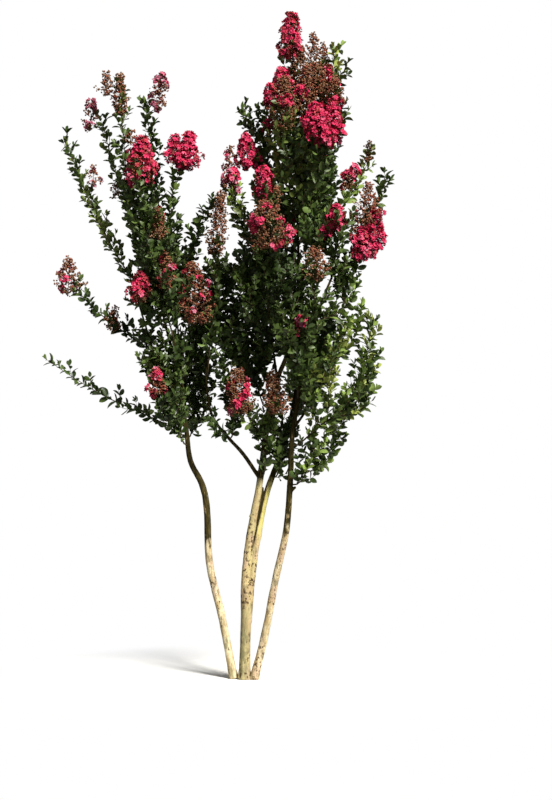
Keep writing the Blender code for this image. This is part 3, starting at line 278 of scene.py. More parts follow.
MASSES = {
    "low_left": Mass(
        "trunk_left", 1.46,
        [[(-0.51, 0, 1.545), (-0.84, 0.02, 1.695), (-1.08, 0.02, 1.84), (-1.15, 0.02, 1.89)]],
        0.075, 13, "dmo", bare=0.08),
    "left_out": Mass(
        "bough_left_outer", 1.98, [[(-0.72, -0.05, 2.08), (-0.92, -0.06, 2.235), (-1.02, -0.06, 2.37)]],
        0.08, 17, "dmm",
        [("buds", -1.05, -0.06, 2.42, 0.21, 0.19), ("buds", -0.78, -0.08, 2.16, 0.15, 0.12)]),
    "left_high": Mass(
        "bough_left_outer", None,
        [[(-0.69, -0.02, 2.41), (-0.8, -0.02, 2.6), (-0.97, -0.02, 2.95), (-1.065, -0.02, 3.22)]],
        0.08, 23, "mdo", [("bits", -0.905, -0.05, 3.02, 0.13, 0.1)], bare=0.05),
    "left_mid": Mass(
        "bough_left_up", 2.1,
        [[(-0.6, 0.08, 2.42), (-0.69, 0.08, 2.78), (-0.76, 0.07, 2.98), (-0.87, 0.05, 3.36)]],
        0.075, 20, "mdo",
        [("mauve", -0.93, 0.05, 3.4, 0.18, 0.12), ("buds", -0.78, 0.02, 2.93, 0.08, 0.08)]),
    "left_top": Mass(
        "bough_left_up", 2.24,
        [[(-0.615, -0.05, 2.6), (-0.69, -0.06, 2.93), (-0.73, -0.06, 3.3), (-0.735, -0.06, 3.56)]],
        0.085, 19, "mmo",
        [("seed", -0.745, -0.06, 3.5, 0.25, 0.12), ("seed", -0.82, -0.08, 3.56, 0.13, 0.1),
         ("seed", -0.68, -0.09, 3.24, 0.08, 0.07)]),
    "left_tall": Mass(
        "bough_left_up", None, [[(-0.545, 0.09, 2.75), (-0.55, 0.1, 3.05), (-0.6, 0.08, 3.45)]],
        0.08, 30, "dmd", [("mauve", -0.515, 0.06, 3.54, 0.21, 0.15)], finer=1),
    "left_cone": Mass(
        "bough_left_up", 2.3, [[(-0.545, -0.12, 2.55), (-0.6, -0.17, 2.8), (-0.61, -0.17, 2.98)]],
        0.14, 30, "dmd",
        [("red", -0.61, -0.17, 3.08, 0.27, 0.2), ("seed", -0.51, -0.17, 2.72, 0.18, 0.13)], finer=2),
    "left_inner": Mass(
        "bough_left_up", 2.18,
        [[(-0.47, -0.03, 2.54), (-0.445, -0.02, 2.76), (-0.435, -0.02, 2.93), (-0.38, -0.02, 3.08)]],
        0.075, 22, "mlm",
        [("hot", -0.335, -0.03, 3.17, 0.2, 0.13), ("hot", -0.425, -0.02, 3.18, 0.15, 0.1),
         ("hot", -0.375, -0.05, 3.12, 0.1, 0.13)]),
    "left_front": Mass(
        "bough_left_front", None,
        [[(-0.46, -0.27, 2.22), (-0.5, -0.28, 2.5)],
         [(-0.44, -0.24, 2.12), (-0.54, -0.2, 2.14), (-0.6, -0.18, 2.29)]],
        0.17, 36, "ddm",
        [("red", -0.6, -0.33, 2.33, 0.15, 0.15), ("rust", -0.45, -0.35, 2.43, 0.21, 0.11)], finer=3),
    "left_back": Mass(
        "bough_left_back", None, [[(-0.47, 0.33, 2.35), (-0.55, 0.31, 2.66)]],
        0.18, 34, "ddm", [("red", -0.56, 0.33, 2.77, 0.2, 0.15)], finer=3),
    "left_side": Mass(
        "bough_left_up", 1.78, [[(-0.31, 0, 1.98), (-0.27, -0.04, 2.22)]],
        0.15, 34, "ddm", [("rust", -0.295, -0.17, 2.31, 0.36, 0.24)], finer=3),
    "left_low": Mass(
        "trunk_left", 1.4,
        [[(-0.42, -0.12, 1.55), (-0.49, -0.15, 1.78), (-0.52, -0.14, 1.92)],
         [(-0.49, -0.14, 1.8), (-0.55, -0.12, 1.94), (-0.59, -0.11, 2.06)],
         [(-0.45, -0.13, 1.62), (-0.42, -0.16, 1.82), (-0.4, -0.15, 2.02)]],
        0.13, 38, "dmm", [("rust", -0.51, -0.24, 1.78, 0.14, 0.14)], finer=3),
    "left_low_back": Mass(
        "trunk_left", 1.44, [[(-0.31, 0.12, 1.58), (-0.29, 0.16, 1.85)]], 0.15, 34, "ddm", finer=3),
    "middle_low": Mass(
        "bough_middle", 1.44,
        [[(-0.07, -0.08, 1.52), (-0.055, -0.09, 1.58)],
         [(-0.075, -0.08, 1.5), (-0.15, -0.13, 1.47), (-0.19, -0.14, 1.54)],
         [(-0.07, -0.08, 1.54), (-0.11, -0.13, 1.74), (-0.12, -0.13, 1.98)]],
        0.1, 32, "dmo"),
    "middle_heart": Mass(
        "stem_centre", 1.62,
        [[(0.06, -0.06, 1.8), (-0.03, -0.08, 2.03), (-0.05, -0.06, 2.2)],
         [(0.04, -0.06, 1.86), (-0.11, -0.01, 2.02)],
         [(0.08, -0.06, 1.78), (0.13, -0.15, 1.95)]],
        0.15, 38, "ddm", finer=3),
    "stem_low": Mass(
        "stem_centre", 1.22, [[(0.125, -0.07, 1.28), (0.13, -0.12, 1.5)]], 0.08, 24, "dmm"),
    "mass_middle": Mass(
        "bough_middle", None, [[(-0.19, -0.04, 2.18), (-0.13, 0, 2.45)]], 0.15, 34, "ddm", finer=3),
    "middle_seed": Mass(
        "bough_middle", 1.82, [[(-0.2, -0.15, 2.05), (-0.16, -0.17, 2.5), (-0.155, -0.16, 2.62)]],
        0.09, 16, "dmm", [("seed", -0.155, -0.16, 2.72, 0.37, 0.14)]),
    "middle_leafy": Mass(
        "bough_left_up", 2, [[(-0.39, 0.09, 2.3), (-0.31, 0.08, 2.62), (-0.205, 0.05, 2.87)]],
        0.085, 22, "dmm", bare=0.25),
    "bloom_middle": Mass(
        "stem_centre", 1.42, [[(0.06, -0.13, 1.52), (-0.02, -0.18, 1.66)]],
        0.09, 24, "mlm", [("mixed", -0.03, -0.19, 1.73, 0.26, 0.21)]),
    "top_bloom": Mass(
        "stem_centre", None, [[(0.295, -0.01, 3.3), (0.275, -0.01, 3.8)]],
        0.12, 24, "dmo",
        [("red", 0.273, -0.01, 3.86, 0.26, 0.155), ("hot", 0.222, -0.05, 3.59, 0.12, 0.13),
         ("hot", 0.157, -0.04, 3.49, 0.13, 0.07), ("hot", 0.336, -0.1, 3.51, 0.06, 0.06),
         ("seed", 0.33, -0.02, 3.68, 0.26, 0.15)], finer=1),
    "mass_top": Mass(
        "stem_centre", 2.78,
        [[(0.39, 0.05, 3.15), (0.415, 0.06, 3.68)],
         [(0.4, 0.05, 3.2), (0.5, 0.06, 3.55), (0.545, 0.06, 3.77)],
         [(0.5, 0.06, 3.5), (0.595, 0.07, 3.66)]],
        0.12, 24, "lmyo",
        [("seed", 0.415, 0.06, 3.77, 0.24, 0.11), ("seed", 0.48, 0.1, 3.76, 0.15, 0.08),
         ("seed", 0.44, 0, 3.56, 0.28, 0.19), ("seed", 0.36, -0.06, 3.53, 0.28, 0.17),
         ("hot", 0.53, 0.02, 3.58, 0.08, 0.07), ("hot", 0.505, 0.02, 3.65, 0.05, 0.05)], finer=1),
    "top_left": Mass(
        "stem_centre", 2.74, [[(0.25, -0.12, 3.05), (0.215, -0.14, 3.38)]],
        0.14, 30, "dmo",
        [("seed", 0.23, -0.14, 3.43, 0.32, 0.2), ("hot", 0.155, -0.14, 3.485, 0.1, 0.08),
         ("hot", 0.25, -0.22, 3.43, 0.06, 0.07), ("hot", 0.138, -0.1, 3.31, 0.06, 0.06)], finer=2),
    "big_right": Mass(
        "stem_centre", 2.68,
        [[(0.42, -0.18, 2.95), (0.475, -0.22, 3.2)],
         [(0.45, -0.2, 3.1), (0.56, -0.11, 3.3), (0.545, -0.1, 3.48)]],
        0.1, 28, "dmm",
        [("hot", 0.425, -0.2, 3.33, 0.17, 0.16), ("hot", 0.52, -0.22, 3.29, 0.2, 0.14),
         ("hot", 0.465, -0.25, 3.25, 0.16, 0.15), ("seed", 0.54, -0.1, 3.5, 0.2, 0.12),
         ("hot", 0.535, -0.14, 3.43, 0.07, 0.09)], finer=2),
    "left_shoulder": Mass(
        "stem_centre", 2.56,
        [[(0.2, 0.06, 2.85), (0.11, 0.07, 3.18), (-0.01, 0.06, 3.4)],
         [(0.16, 0.07, 3.02), (0.03, -0.02, 3.1)],
         [(0.15, 0.07, 3.1), (0.13, 0.1, 3.42)]],
        0.11, 28, "dmm",
        [("hot", 0.012, -0.03, 3.165, 0.19, 0.14), ("buds", -0.09, -0.03, 3.13, 0.14, 0.08)], finer=1),
    "small_left": Mass(
        "bough_upper_left", None, [[(0, -0.1, 2.66), (-0.075, -0.1, 2.93)]],
        0.09, 30, "lmo",
        [("hot", -0.07, -0.1, 3.01, 0.08, 0.09), ("mauve", -0.09, -0.11, 2.96, 0.14, 0.15)], finer=1),
    "bloom_mid": Mass(
        "bough_front", None,
        [[(0.14, -0.27, 2.5), (0.12, -0.22, 2.88)],
         [(0.14, -0.27, 2.45), (0.145, -0.33, 2.62)]],
        0.15, 30, "dmd",
        [("mixed", 0.14, -0.36, 2.69, 0.28, 0.3), ("hot", 0.115, -0.21, 2.95, 0.19, 0.12),
         ("seed", 0.18, -0.24, 2.87, 0.12, 0.08)], finer=2),
    "mass_upper": Mass(
        "stem_centre", 2.62, [[(0.41, 0.12, 2.85), (0.4, 0.15, 3.3)]], 0.17, 36, "ddm", finer=3),
    "mid_left": Mass(
        "bough_front", 2.06, [[(0.05, -0.21, 2.22), (0.02, -0.2, 2.48)]], 0.14, 38, "dmm", finer=3),
    "mid_right": Mass(
        "bough_right_up", None,
        [[(0.53, -0.29, 2.58), (0.54, -0.31, 2.68)],
         [(0.52, -0.26, 2.5), (0.42, -0.17, 2.62), (0.4, -0.14, 2.8)],
         [(0.52, -0.27, 2.49), (0.44, -0.29, 2.54), (0.36, -0.31, 2.64)]],
        0.14, 34, "dmd",
        [("hot", 0.535, -0.32, 2.735, 0.13, 0.12), ("hot", 0.47, -0.32, 2.65, 0.06, 0.06)], finer=1),
    "right_high": Mass(
        "stem_centre", 2.44,
        [[(0.45, -0.02, 2.66), (0.62, 0, 2.88), (0.72, 0.03, 3.06), (0.765, 0.03, 3.18)]],
        0.07, 18, "lol",
        [("hot", 0.655, -0.04, 3.045, 0.07, 0.07), ("mixed", 0.61, -0.04, 2.99, 0.11, 0.09),
         ("seed", 0.745, 0.03, 3.17, 0.12, 0.06)], bare=0.2, finer=1),
    "right_big": Mass(
        "bough_right_up", 2.28,
        [[(0.6, -0.08, 2.42), (0.72, -0.03, 2.7), (0.85, -0.02, 2.99)],
         [(0.63, -0.07, 2.48), (0.72, -0.14, 2.58)]],
        0.09, 20, "dmm",
        [("rust", 0.735, -0.16, 2.83, 0.26, 0.17), ("hot", 0.775, -0.16, 2.68, 0.22, 0.13),
         ("hot", 0.705, -0.17, 2.6, 0.17, 0.16), ("rust", 0.65, -0.15, 2.68, 0.14, 0.1)], finer=1),
    "seed_mid": Mass(
        "bough_right_up", 2.06, [[(0.41, -0.33, 2.22), (0.41, -0.36, 2.38)]],
        0.12, 26, "dmm", [("seed", 0.41, -0.37, 2.46, 0.19, 0.19)], finer=1),
    "right_edge": Mass(
        "bough_right_up", 2.14,
        [[(0.58, -0.14, 2.22), (0.65, -0.1, 2.44)],
         [(0.6, -0.13, 2.26), (0.53, -0.2, 2.42)]],
        0.11, 30, "dml", finer=1),
    "right_low": Mass(
        "bough_right_low", None,
        [[(0.55, -0.12, 1.96), (0.62, -0.12, 2.12)],
         [(0.53, -0.12, 1.9), (0.64, -0.06, 2.02), (0.7, -0.06, 2.22)]],
        0.075, 28, "lmly"),
    "mass_right_low": Mass(
        "trunk_right", 1.4,
        [[(0.44, -0.19, 1.52), (0.58, -0.21, 1.62), (0.68, -0.19, 1.8), (0.755, -0.17, 2.12)],
         [(0.6, -0.21, 1.66), (0.71, -0.1, 1.74), (0.78, -0.08, 1.93)],
         [(0.44, -0.19, 1.5), (0.55, -0.11, 1.48), (0.6, -0.09, 1.62)],
         [(0.5, -0.19, 1.56), (0.5, -0.25, 1.76), (0.51, -0.24, 1.96)],
         [(0.55, -0.21, 1.6), (0.66, -0.27, 1.6), (0.73, -0.26, 1.7)],
         [(0.44, -0.19, 1.5), (0.4, -0.24, 1.62), (0.38, -0.25, 1.82)]],
        0.095, 32, "mdmly", finer=1),
    "right_foot": Mass(
        "trunk_right", 1.17,
        [[(0.34, -0.15, 1.2), (0.42, -0.18, 1.4)],
         [(0.36, -0.15, 1.25), (0.48, -0.12, 1.31), (0.55, -0.11, 1.44)]],
        0.11, 36, "dml"),
    "mass_centre": Mass(
        "trunk_right", 1.68, [[(0.31, -0.29, 1.9), (0.29, -0.33, 2.12), (0.27, -0.33, 2.36)]],
        0.17, 36, "dmm",
        [("hot", 0.336, -0.4, 2.136, 0.05, 0.05), ("bits", 0.32, -0.38, 2.1, 0.1, 0.09)], finer=3),
    "seed_centre": Mass(
        "stem_centre", 1.5, [[(0.17, -0.15, 1.6), (0.18, -0.22, 1.68)]],
        0.09, 24, "mlm", [("seed", 0.18, -0.23, 1.72, 0.24, 0.18)]),
    "centre_low": Mass(
        "stem_right", 1.2, [[(0.21, -0.01, 1.28), (0.235, -0.03, 1.5)]], 0.13, 40, "dmm", finer=2),
    "right_mid": Mass(
        "trunk_right", 1.6, [[(0.42, -0.02, 1.8), (0.46, 0.05, 2.1)]], 0.15, 36, "dmm", finer=3),
    "back_upper": Mass(
        "stem_right", None, [[(0.46, 0.33, 2.82), (0.44, 0.33, 3.06)]],
        0.18, 34, "dmm", [("hot", 0.44, 0.36, 3.13, 0.22, 0.17)], finer=3),
    "back_mid": Mass(
        "bough_back", None, [[(0.22, 0.42, 2.5), (0.21, 0.39, 2.78)]],
        0.22, 36, "dmm", [("mixed", 0.2, 0.42, 2.86, 0.24, 0.17)], finer=3),
    "back_low": Mass(
        "stem_right", 1.56, [[(0.38, 0.32, 1.74), (0.44, 0.38, 2.05)]], 0.21, 36, "dml", finer=3),
    "back_left": Mass(
        "stem_centre", 1.98, [[(0.14, 0.18, 2.18), (0.06, 0.24, 2.52)]],
        0.17, 34, "dmm", [("seed", 0.05, 0.26, 2.64, 0.18, 0.14)], finer=3),
}

# Heads by kind: how thickly flowers and seed cases cover them, the likely petals and seed cases, the least
# noise at which a cluster is open (at -1 they all are), and the square metres that each side stalk has.
HEADS = {
    "hot": (1.60, 0.35, "hhhhhhpr", ("red", "red", "brown"), -1.0, 0.0020),
    "red": (1.45, 0.75, "rrrhhhp", ("red", "red", "brown"), -0.42, 0.0020),
    "mixed": (1.50, 1.25, "hhhrp", ("brown", "red", "brown", "tan"), 0.16, 0.0022),
    "mauve": (0.80, 0.62, "mmmp", ("tan", "brown", "red"), 0.02, 0.0042),
    "seed": (0.0, 1.35, "r", ("brown", "brown", "red", "tan"), 1.0, 0.0026),
    "rust": (0.95, 1.00, "rrhm", ("red", "brown", "red", "tan"), 0.20, 0.0032),
    "buds": (0.90, 0.85, "hhm", ("brown", "tan", "red"), 0.30, 0.0036),
    "bits": (0.60, 0.40, "mmh", ("red", "tan"), 0.10, 0.0040),
}
PINKS = {"h": "hot", "p": "pale", "r": "red", "m": "mauve"}
GREENS = {"d": "deep", "m": "mid", "o": "olive", "l": "light", "y": "yellow"}


def length_prop(name, default, description):
    return FloatProperty(name=name, default=default, min=0.0, unit="LENGTH", description=description)


def share_prop(name, default, description):
    return FloatProperty(name=name, default=default, min=0.0, subtype="FACTOR", description=description)


def colour_prop(name, default, description):
    return FloatVectorProperty(name=name, default=default, size=3, min=0.0, max=1.0, subtype="COLOR",
                               description=description)


class CrapeBark(bpy.types.PropertyGroup):
    """Sizes and colours of the bark."""

    grain: length_prop("Grain", 0.0034, "Size of the bark mesh's faces")
    flute: length_prop("Flute", 0.0016, "Depth of the long hollows between the ribs of a trunk")
    flake: length_prop("Flake", 0.0008, "Height of the edges that shed bark leaves")
    # Heights at which the painted crown shadow begins on each trunk: dark bark standing for the shade of the
    # crown.
    shadow_left: length_prop("Old bark on the left trunk", 0.80, "Height at which its unshed bark begins")
    shadow_centre: length_prop("Old bark on the middle trunk", 1.16, "Height at which its unshed bark begins")
    shadow_right: length_prop("Old bark on the right trunk", 0.91, "Height at which its unshed bark begins")
    cream: colour_prop("Cream", (0.76, 0.66, 0.43), "Freshly bared bark")
    cream_centre: colour_prop("Cream of the middle trunk", (0.57, 0.48, 0.235), "Its freshly bared bark")
    yellow: colour_prop("Yellow", (0.74, 0.66, 0.19), "The sunlit side of the right middle stem")
    tan: colour_prop("Tan", (0.50, 0.37, 0.19), "Bared bark that has aged")
    rose: colour_prop("Rose", (0.60, 0.41, 0.30), "Pinkish patches low on the trunks")
    grey: colour_prop("Grey", (0.19, 0.175, 0.085), "Grey and olive patches")
    fleck: colour_prop("Fleck", (0.075, 0.045, 0.020), "Flecks and scars")
    # The painted crown shadow: a dark bark colour, and a lighter one for its ridges.
    old: colour_prop("Old bark", (0.026, 0.020, 0.004), "Bark that hasn't been shed")
    ridge: colour_prop("Ridges in the painted shadow", (0.135, 0.104, 0.030), "Ridges of the bark that hasn't been shed")
    stain_left: share_prop("Stain on the left trunk", 0.25, "How dark its foot is stained")
    stain_centre: share_prop("Stain on the middle trunk", 0.95, "How dark its foot is stained")
    stain_right: share_prop("Stain on the right trunk", 0.35, "How dark its foot is stained")


class CrapeTwigs(bpy.types.PropertyGroup):
    """Sizes and colour of the shoots and twigs."""

    stem: length_prop("Stem radius", 0.0052, "Radius at the foot of a mass's own stem")
    spray: length_prop("Spray radius", 0.0022, "Radius at the foot of a side spray")
    tip: length_prop("Tip radius", 0.0009, "Radius at a tip")
    colour: colour_prop("Twig colour", (0.085, 0.06, 0.028), "Young bark on the twigs")
    stalk: colour_prop("Stalk colour", (0.21, 0.09, 0.05), "Skin of the stalks in the heads")


class CrapeLeaves(bpy.types.PropertyGroup):
    """Sizes and colours of the leaves."""

    length: length_prop("Leaf length", 0.063, "Length of a full-grown leaf")
    width: share_prop("Leaf width", 0.56, "Width as a share of the length")
    step: length_prop("Pair spacing", 0.032, "Distance between pairs on a side spray")
    stem_step: length_prop("Pair spacing on stems", 0.033, "Distance between pairs on a main shoot")
    # Each spray gets one green. The deep green is painted shade on inner sprays; the light and yellow greens
    # are partly the leaves' own lighter colour and partly painted sunlight.
    deep: colour_prop("Deep green", (0.046, 0.078, 0.017), "Leaves in the shade of the crown")
    mid: colour_prop("Mid green", (0.092, 0.142, 0.032), "Most leaves")
    olive: colour_prop("Olive green", (0.150, 0.198, 0.044), "Leaves on the upper left shoots")
    light: colour_prop("Light green", (0.240, 0.340, 0.076), "Young leaves")
    yellow: colour_prop("Yellow green", (0.365, 0.425, 0.098), "Leaves on the low right sprays")


class CrapeBlossom(bpy.types.PropertyGroup):
    """Sizes and colours of the flowers."""

    flower: length_prop("Flower size", 0.028, "Width of one flower")
    hot: colour_prop("Hot pink", (0.72, 0.036, 0.125), "Most petals of the open heads")
    # The pale pink is painted sunlight on petals, dealt at random among the others.
    pale: colour_prop("Pale pink", (0.80, 0.13, 0.24), "Their palest petals")
    red: colour_prop("Red pink", (0.50, 0.050, 0.070), "Petals of the older heads")
    mauve: colour_prop("Mauve pink", (0.56, 0.17, 0.25), "Petals of the fading heads")


class CrapeSeeds(bpy.types.PropertyGroup):
    """Sizes and colours of the seed cases and buds."""

    case: length_prop("Seed case size", 0.0120, "Width of one seed case")
    brown: colour_prop("Brown", (0.27, 0.125, 0.055), "Ripe seed cases")
    tan: colour_prop("Tan", (0.37, 0.205, 0.115), "Dry seed cases")
    red: colour_prop("Red", (0.38, 0.092, 0.052), "Buds and young seed cases")


class CrapeStage(bpy.types.PropertyGroup):
    """The floor, the light and the camera."""

    distance: length_prop("Camera distance", 10.0, "From the camera to the middle trunk")
    eye: length_prop("Camera height", 1.674, "Height of the camera")
    aside: FloatProperty(name="Camera aside", default=0.186, unit="LENGTH",
                         description="How far right of the middle trunk the camera stands")
    lens: FloatProperty(name="Lens", default=75.0, unit="CAMERA", description="Focal length")
    floor: length_prop("Floor radius", 30.0, "Radius of the floor")
    key: FloatProperty(name="Key light", default=6.8, description="Strength of the key light")
    fill: FloatProperty(name="Fill light", default=0.20, description="Strength of the light all round")
    white: colour_prop("Floor colour", (0.86, 0.86, 0.85), "The pale floor")


# Lines and limbs

def smooth_line(places, step):
    """A smooth line through the places, as points about one step apart, with each point's share."""
    points = [Vector(p) for p in places]
    ends = [points[0] * 2 - points[1]] + points + [points[-1] * 2 - points[-2]]
    line = []
    shares = []
    for i in range(1, len(ends) - 2):
        a, b, c, d = ends[i - 1:i + 3]
        count = max(1, round((c - b).length / step))
        for k in range(count):
            t = k / count
            line.append(0.5 * ((2 * b) + (c - a) * t + (2 * a - 5 * b + 4 * c - d) * t * t
                               + (3 * b - a - 3 * c + d) * t ** 3))
            shares.append(i - 1 + t)
    line.append(points[-1])
    shares.append(len(points) - 1)
    return line, shares


def between(values, share):
    i = min(int(share), len(values) - 2)
    return values[i] + (values[i + 1] - values[i]) * (share - i)


def taper(count, foot, tip):
    return [foot + (tip - foot) * i / max(1, count - 1) for i in range(count)]


class Limb:
    """A limb's centre line and radii."""

    def __init__(self, places, radii):
        self.line, shares = smooth_line(places, LIMB_STEP)
        self.radii = [between(radii, share) for share in shares]

    def at_height(self, height):
        for a, b, ra, rb in zip(self.line, self.line[1:], self.radii, self.radii[1:]):
            if a.z <= height <= b.z:
                t = (height - a.z) / (b.z - a.z)
                return a.lerp(b, t), ra + (rb - ra) * t
        return self.line[-1].copy(), self.radii[-1]

    def tip_direction(self):
        return (self.line[-1] - self.line[-2]).normalized()


def limb_lines():
    """Every limb by name, each starting inside its parent."""
    limbs = {}
    for name, (places, radii) in TRUNKS.items():
        limb = Limb(places, radii)
        if limb.line[0].z == 0:
            limb.radii = [r * (1 + FLARE * math.exp(-p.z / FLARE_HEIGHT))
                          for p, r in zip(limb.line, limb.radii)]
        limbs[name] = limb
    grown = {name: (parent, None, *rest) for name, (parent, *rest) in STEMS.items()}
    for name, (parent, height, places, foot, tip) in {**grown, **BOUGHS}.items():
        root = limbs[parent]
        start = root.line[-1] if height is None else root.at_height(height)[0]
        run = [start] + [Vector(p) for p in places]
        if height is None:
            run = [root.line[-2]] + run
            radii = [root.radii[-2]] + taper(len(run) - 1, foot, tip)
        else:
            radii = taper(len(run), foot, tip)
        limbs[name] = Limb(run, radii)
    return limbs


def frames(line):
    """For each point of a line, two directions across it, without twist."""
    found = []
    across = None
    for i in range(len(line)):
        tangent = (line[min(i + 1, len(line) - 1)] - line[max(i - 1, 0)]).normalized()
        if across is None:
            across = tangent.cross(Vector((0.13, 0.97, 0.2))).normalized()
        across = (across - tangent * across.dot(tangent)).normalized()
        found.append((across, tangent.cross(across)))
    return found


def walk(line, step, start):
    """Points along a line at even steps, each with its tangent and its share of the length."""
    total = sum((b - a).length for a, b in zip(line, line[1:]))
    wanted = start
    run = 0.0
    found = []
    for a, b in zip(line, line[1:]):
        length = (b - a).length
        while wanted <= run + length and wanted <= total:
            found.append((a.lerp(b, (wanted - run) / length), (b - a).normalized(), wanted / total))
            wanted += step
        run += length
    return found


def line_length(line):
    return sum((b - a).length for a, b in zip(line, line[1:]))


# Meshes

def scene_object(name, data):
    made = bpy.data.objects.new(name, data)
    bpy.context.scene.collection.objects.link(made)
    return made


def read_array(items, attribute, width, kind=np.float32):
    values = np.empty(len(items) * width, kind)
    items.foreach_get(attribute, values)
    return values.reshape(-1, width)


def move_corners(mesh, points):
    mesh.vertices.foreach_set("co", points.astype(np.float32).ravel())
    mesh.update()


def mesh_piece(name, corners, faces, material, smooth=True):
    """An object from an array of corners and an array of faces that all have as many corners."""
    corners = np.asarray(corners, np.float32).reshape(-1, 3)
    faces = np.asarray(faces, np.int32)
    mesh = bpy.data.meshes.new(name)
    mesh.vertices.add(len(corners))
    mesh.vertices.foreach_set("co", corners.ravel())
    mesh.loops.add(faces.size)
    mesh.loops.foreach_set("vertex_index", faces.ravel())
    mesh.polygons.add(len(faces))
    mesh.polygons.foreach_set("loop_start", np.arange(0, faces.size, faces.shape[1], dtype=np.int32))
    mesh.update(calc_edges=True)
    mesh.validate()
    if smooth:
        mesh.shade_smooth()
    mesh.materials.append(material)
    return scene_object(name, mesh)


def rings(line, radii, sides):
    """The corners of the rings round a line."""
    turns = [(math.cos(2 * math.pi * k / sides), math.sin(2 * math.pi * k / sides)) for k in range(sides)]
    return [point + (u * c + v * s) * radius
            for point, radius, (u, v) in zip(line, radii, frames(line)) for c, s in turns]


def tubes(runs, sides):
    """Corners and triangles of many open tubes from (line, radii), each closed to a point at its tip."""
    corners = []
    faces = []
    for line, radii in runs:
        base = len(corners)
        corners.extend(rings(line, radii, sides))
        for i in range(len(line) - 1):
            a = base + i * sides
            for k in range(sides):
                n = (k + 1) % sides
                faces.append((a + k, a + n, a + sides + n))
                faces.append((a + k, a + sides + n, a + sides + k))
        tip = len(corners)
        corners.append(line[-1])
        last = tip - sides
        faces.extend((last + k, last + (k + 1) % sides, tip) for k in range(sides))
    return np.array([tuple(c) for c in corners]), np.array(faces)


def closed_tube(line, radii, sides):
    """Corners and faces of one closed tube, for joining into a solid of bark."""
    faces = []
    for i in range(len(line) - 1):
        for k in range(sides):
            n = (k + 1) % sides
            faces.append((i * sides + k, i * sides + n, (i + 1) * sides + n, (i + 1) * sides + k))
    faces.append(tuple(reversed(range(sides))))
    faces.append(tuple(range((len(line) - 1) * sides, len(line) * sides)))
    return rings(line, radii, sides), faces


def placed(templates, places, axes):
    """The corners of every template, set at its place with its three axes."""
    turned = np.einsum("nvi,nij->nvj", templates, np.stack(axes, axis=1))
    return (places[:, None, :] + turned).reshape(-1, 3)


def repeated(faces, count, corners_each):
    return (faces[None, :, :] + (np.arange(count) * corners_each)[:, None, None]).reshape(-1, faces.shape[1])


def unit(vectors):
    return vectors / np.maximum(np.linalg.norm(vectors, axis=-1, keepdims=True), 1e-9)


def square_to(axis):
    """Two directions square to each axis and to each other."""
    upright = np.abs(axis[:, 2:3]) < 0.8
    east = unit(np.cross(np.where(upright, np.array([[0.0, 0.0, 1.0]]), np.array([[1.0, 0.0, 0.0]])), axis))
    return east, np.cross(axis, east)


# The plan: everything that grows, worked out once

class Plan:
    """What grows on the limbs: runs of twig, leaves by green, flowers and seed cases by colour."""

    def __init__(self):
        self.twigs = []
        self.stalks = []
        self.leaves = {name: [] for name in GREENS.values()}
        self.flowers = {name: [] for name in PINKS.values()}
        self.cases = {"brown": [], "tan": [], "red": []}
        self.masses = {}

    def note(self, piece, mass):
        self.masses.setdefault(piece, set()).add(mass)


def outward(tangent, angle):
    across = tangent.cross(Vector((0.2, 1.0, 0.1))).normalized()
    return across * math.cos(angle) + tangent.cross(across) * math.sin(angle)


def scatter(chance, spread):
    """A short vector in a direction left to chance."""
    return Vector([chance.gauss(0, spread) for _ in range(3)])


def leaf_pairs(plan, name, line, step, start, green, size, heart, chance):
    """Pairs of leaves along a line, each pair turned from the last, and one or two at the tip."""
    turn = chance.uniform(0, math.pi)
    for point, tangent, share in walk(line, step, start):
        grown = 1.0 - max(0.0, share - SHRINK_FROM)
        for half in (0, math.pi):
            if chance.random() < MISSING_LEAVES:
                continue
            lift = math.radians(chance.uniform(38, 66))
            radial = outward(tangent, turn + half + chance.uniform(-0.4, 0.4))
            direction = (tangent * math.cos(lift) + radial * math.sin(lift) + UP * 0.12).normalized()
            length = size * grown * chance.uniform(0.68, 1.14)
            add_leaf(plan, name, point, direction, green, length, heart, chance)
        turn += PAIR_TURN
    if line_length(line) > 0.02:
        along = (line[-1] - line[-2]).normalized()
        side = outward(along, turn)
        for lean in (TIP_LEAN, -TIP_LEAN):
            direction = (along + side * lean + UP * 0.1).normalized()
            length = size * chance.uniform(0.5, 0.72)
            add_leaf(plan, name, line[-1], direction, green, length, heart, chance)


def add_leaf(plan, name, root, direction, green, length, heart, chance):
    """One leaf. It faces partly up, partly out from the heart of its mass, and partly by chance."""
    out = root - heart
    out.z *= 0.35
    upward, outwards, astray = FACING
    normal = UP * upward + out.normalized() * outwards + scatter(chance, 1) * astray
    side = direction.cross(normal)
    if side.length < 1e-3:
        side = direction.cross(Vector((0.3, 1, 0.2)))
    side.normalize()
    plan.leaves[green].append((root, direction, side, length, chance.uniform(0.12, 0.42),
                               chance.uniform(-0.02, 0.26)))
    plan.note("leaves_" + green, name)


def side_line(point, tangent, turn, lift, length, chance):
    """A side spray's line: out from its shoot, then curving up."""
    radial = outward(tangent, turn)
    direction = (tangent * math.cos(lift) + radial * math.sin(lift)).normalized()
    rise = length * chance.uniform(0.35, 0.75)
    return [point + direction * (length * t) + UP * (rise * t * t) for t in (0.0, 0.25, 0.5, 0.75, 1.0)]


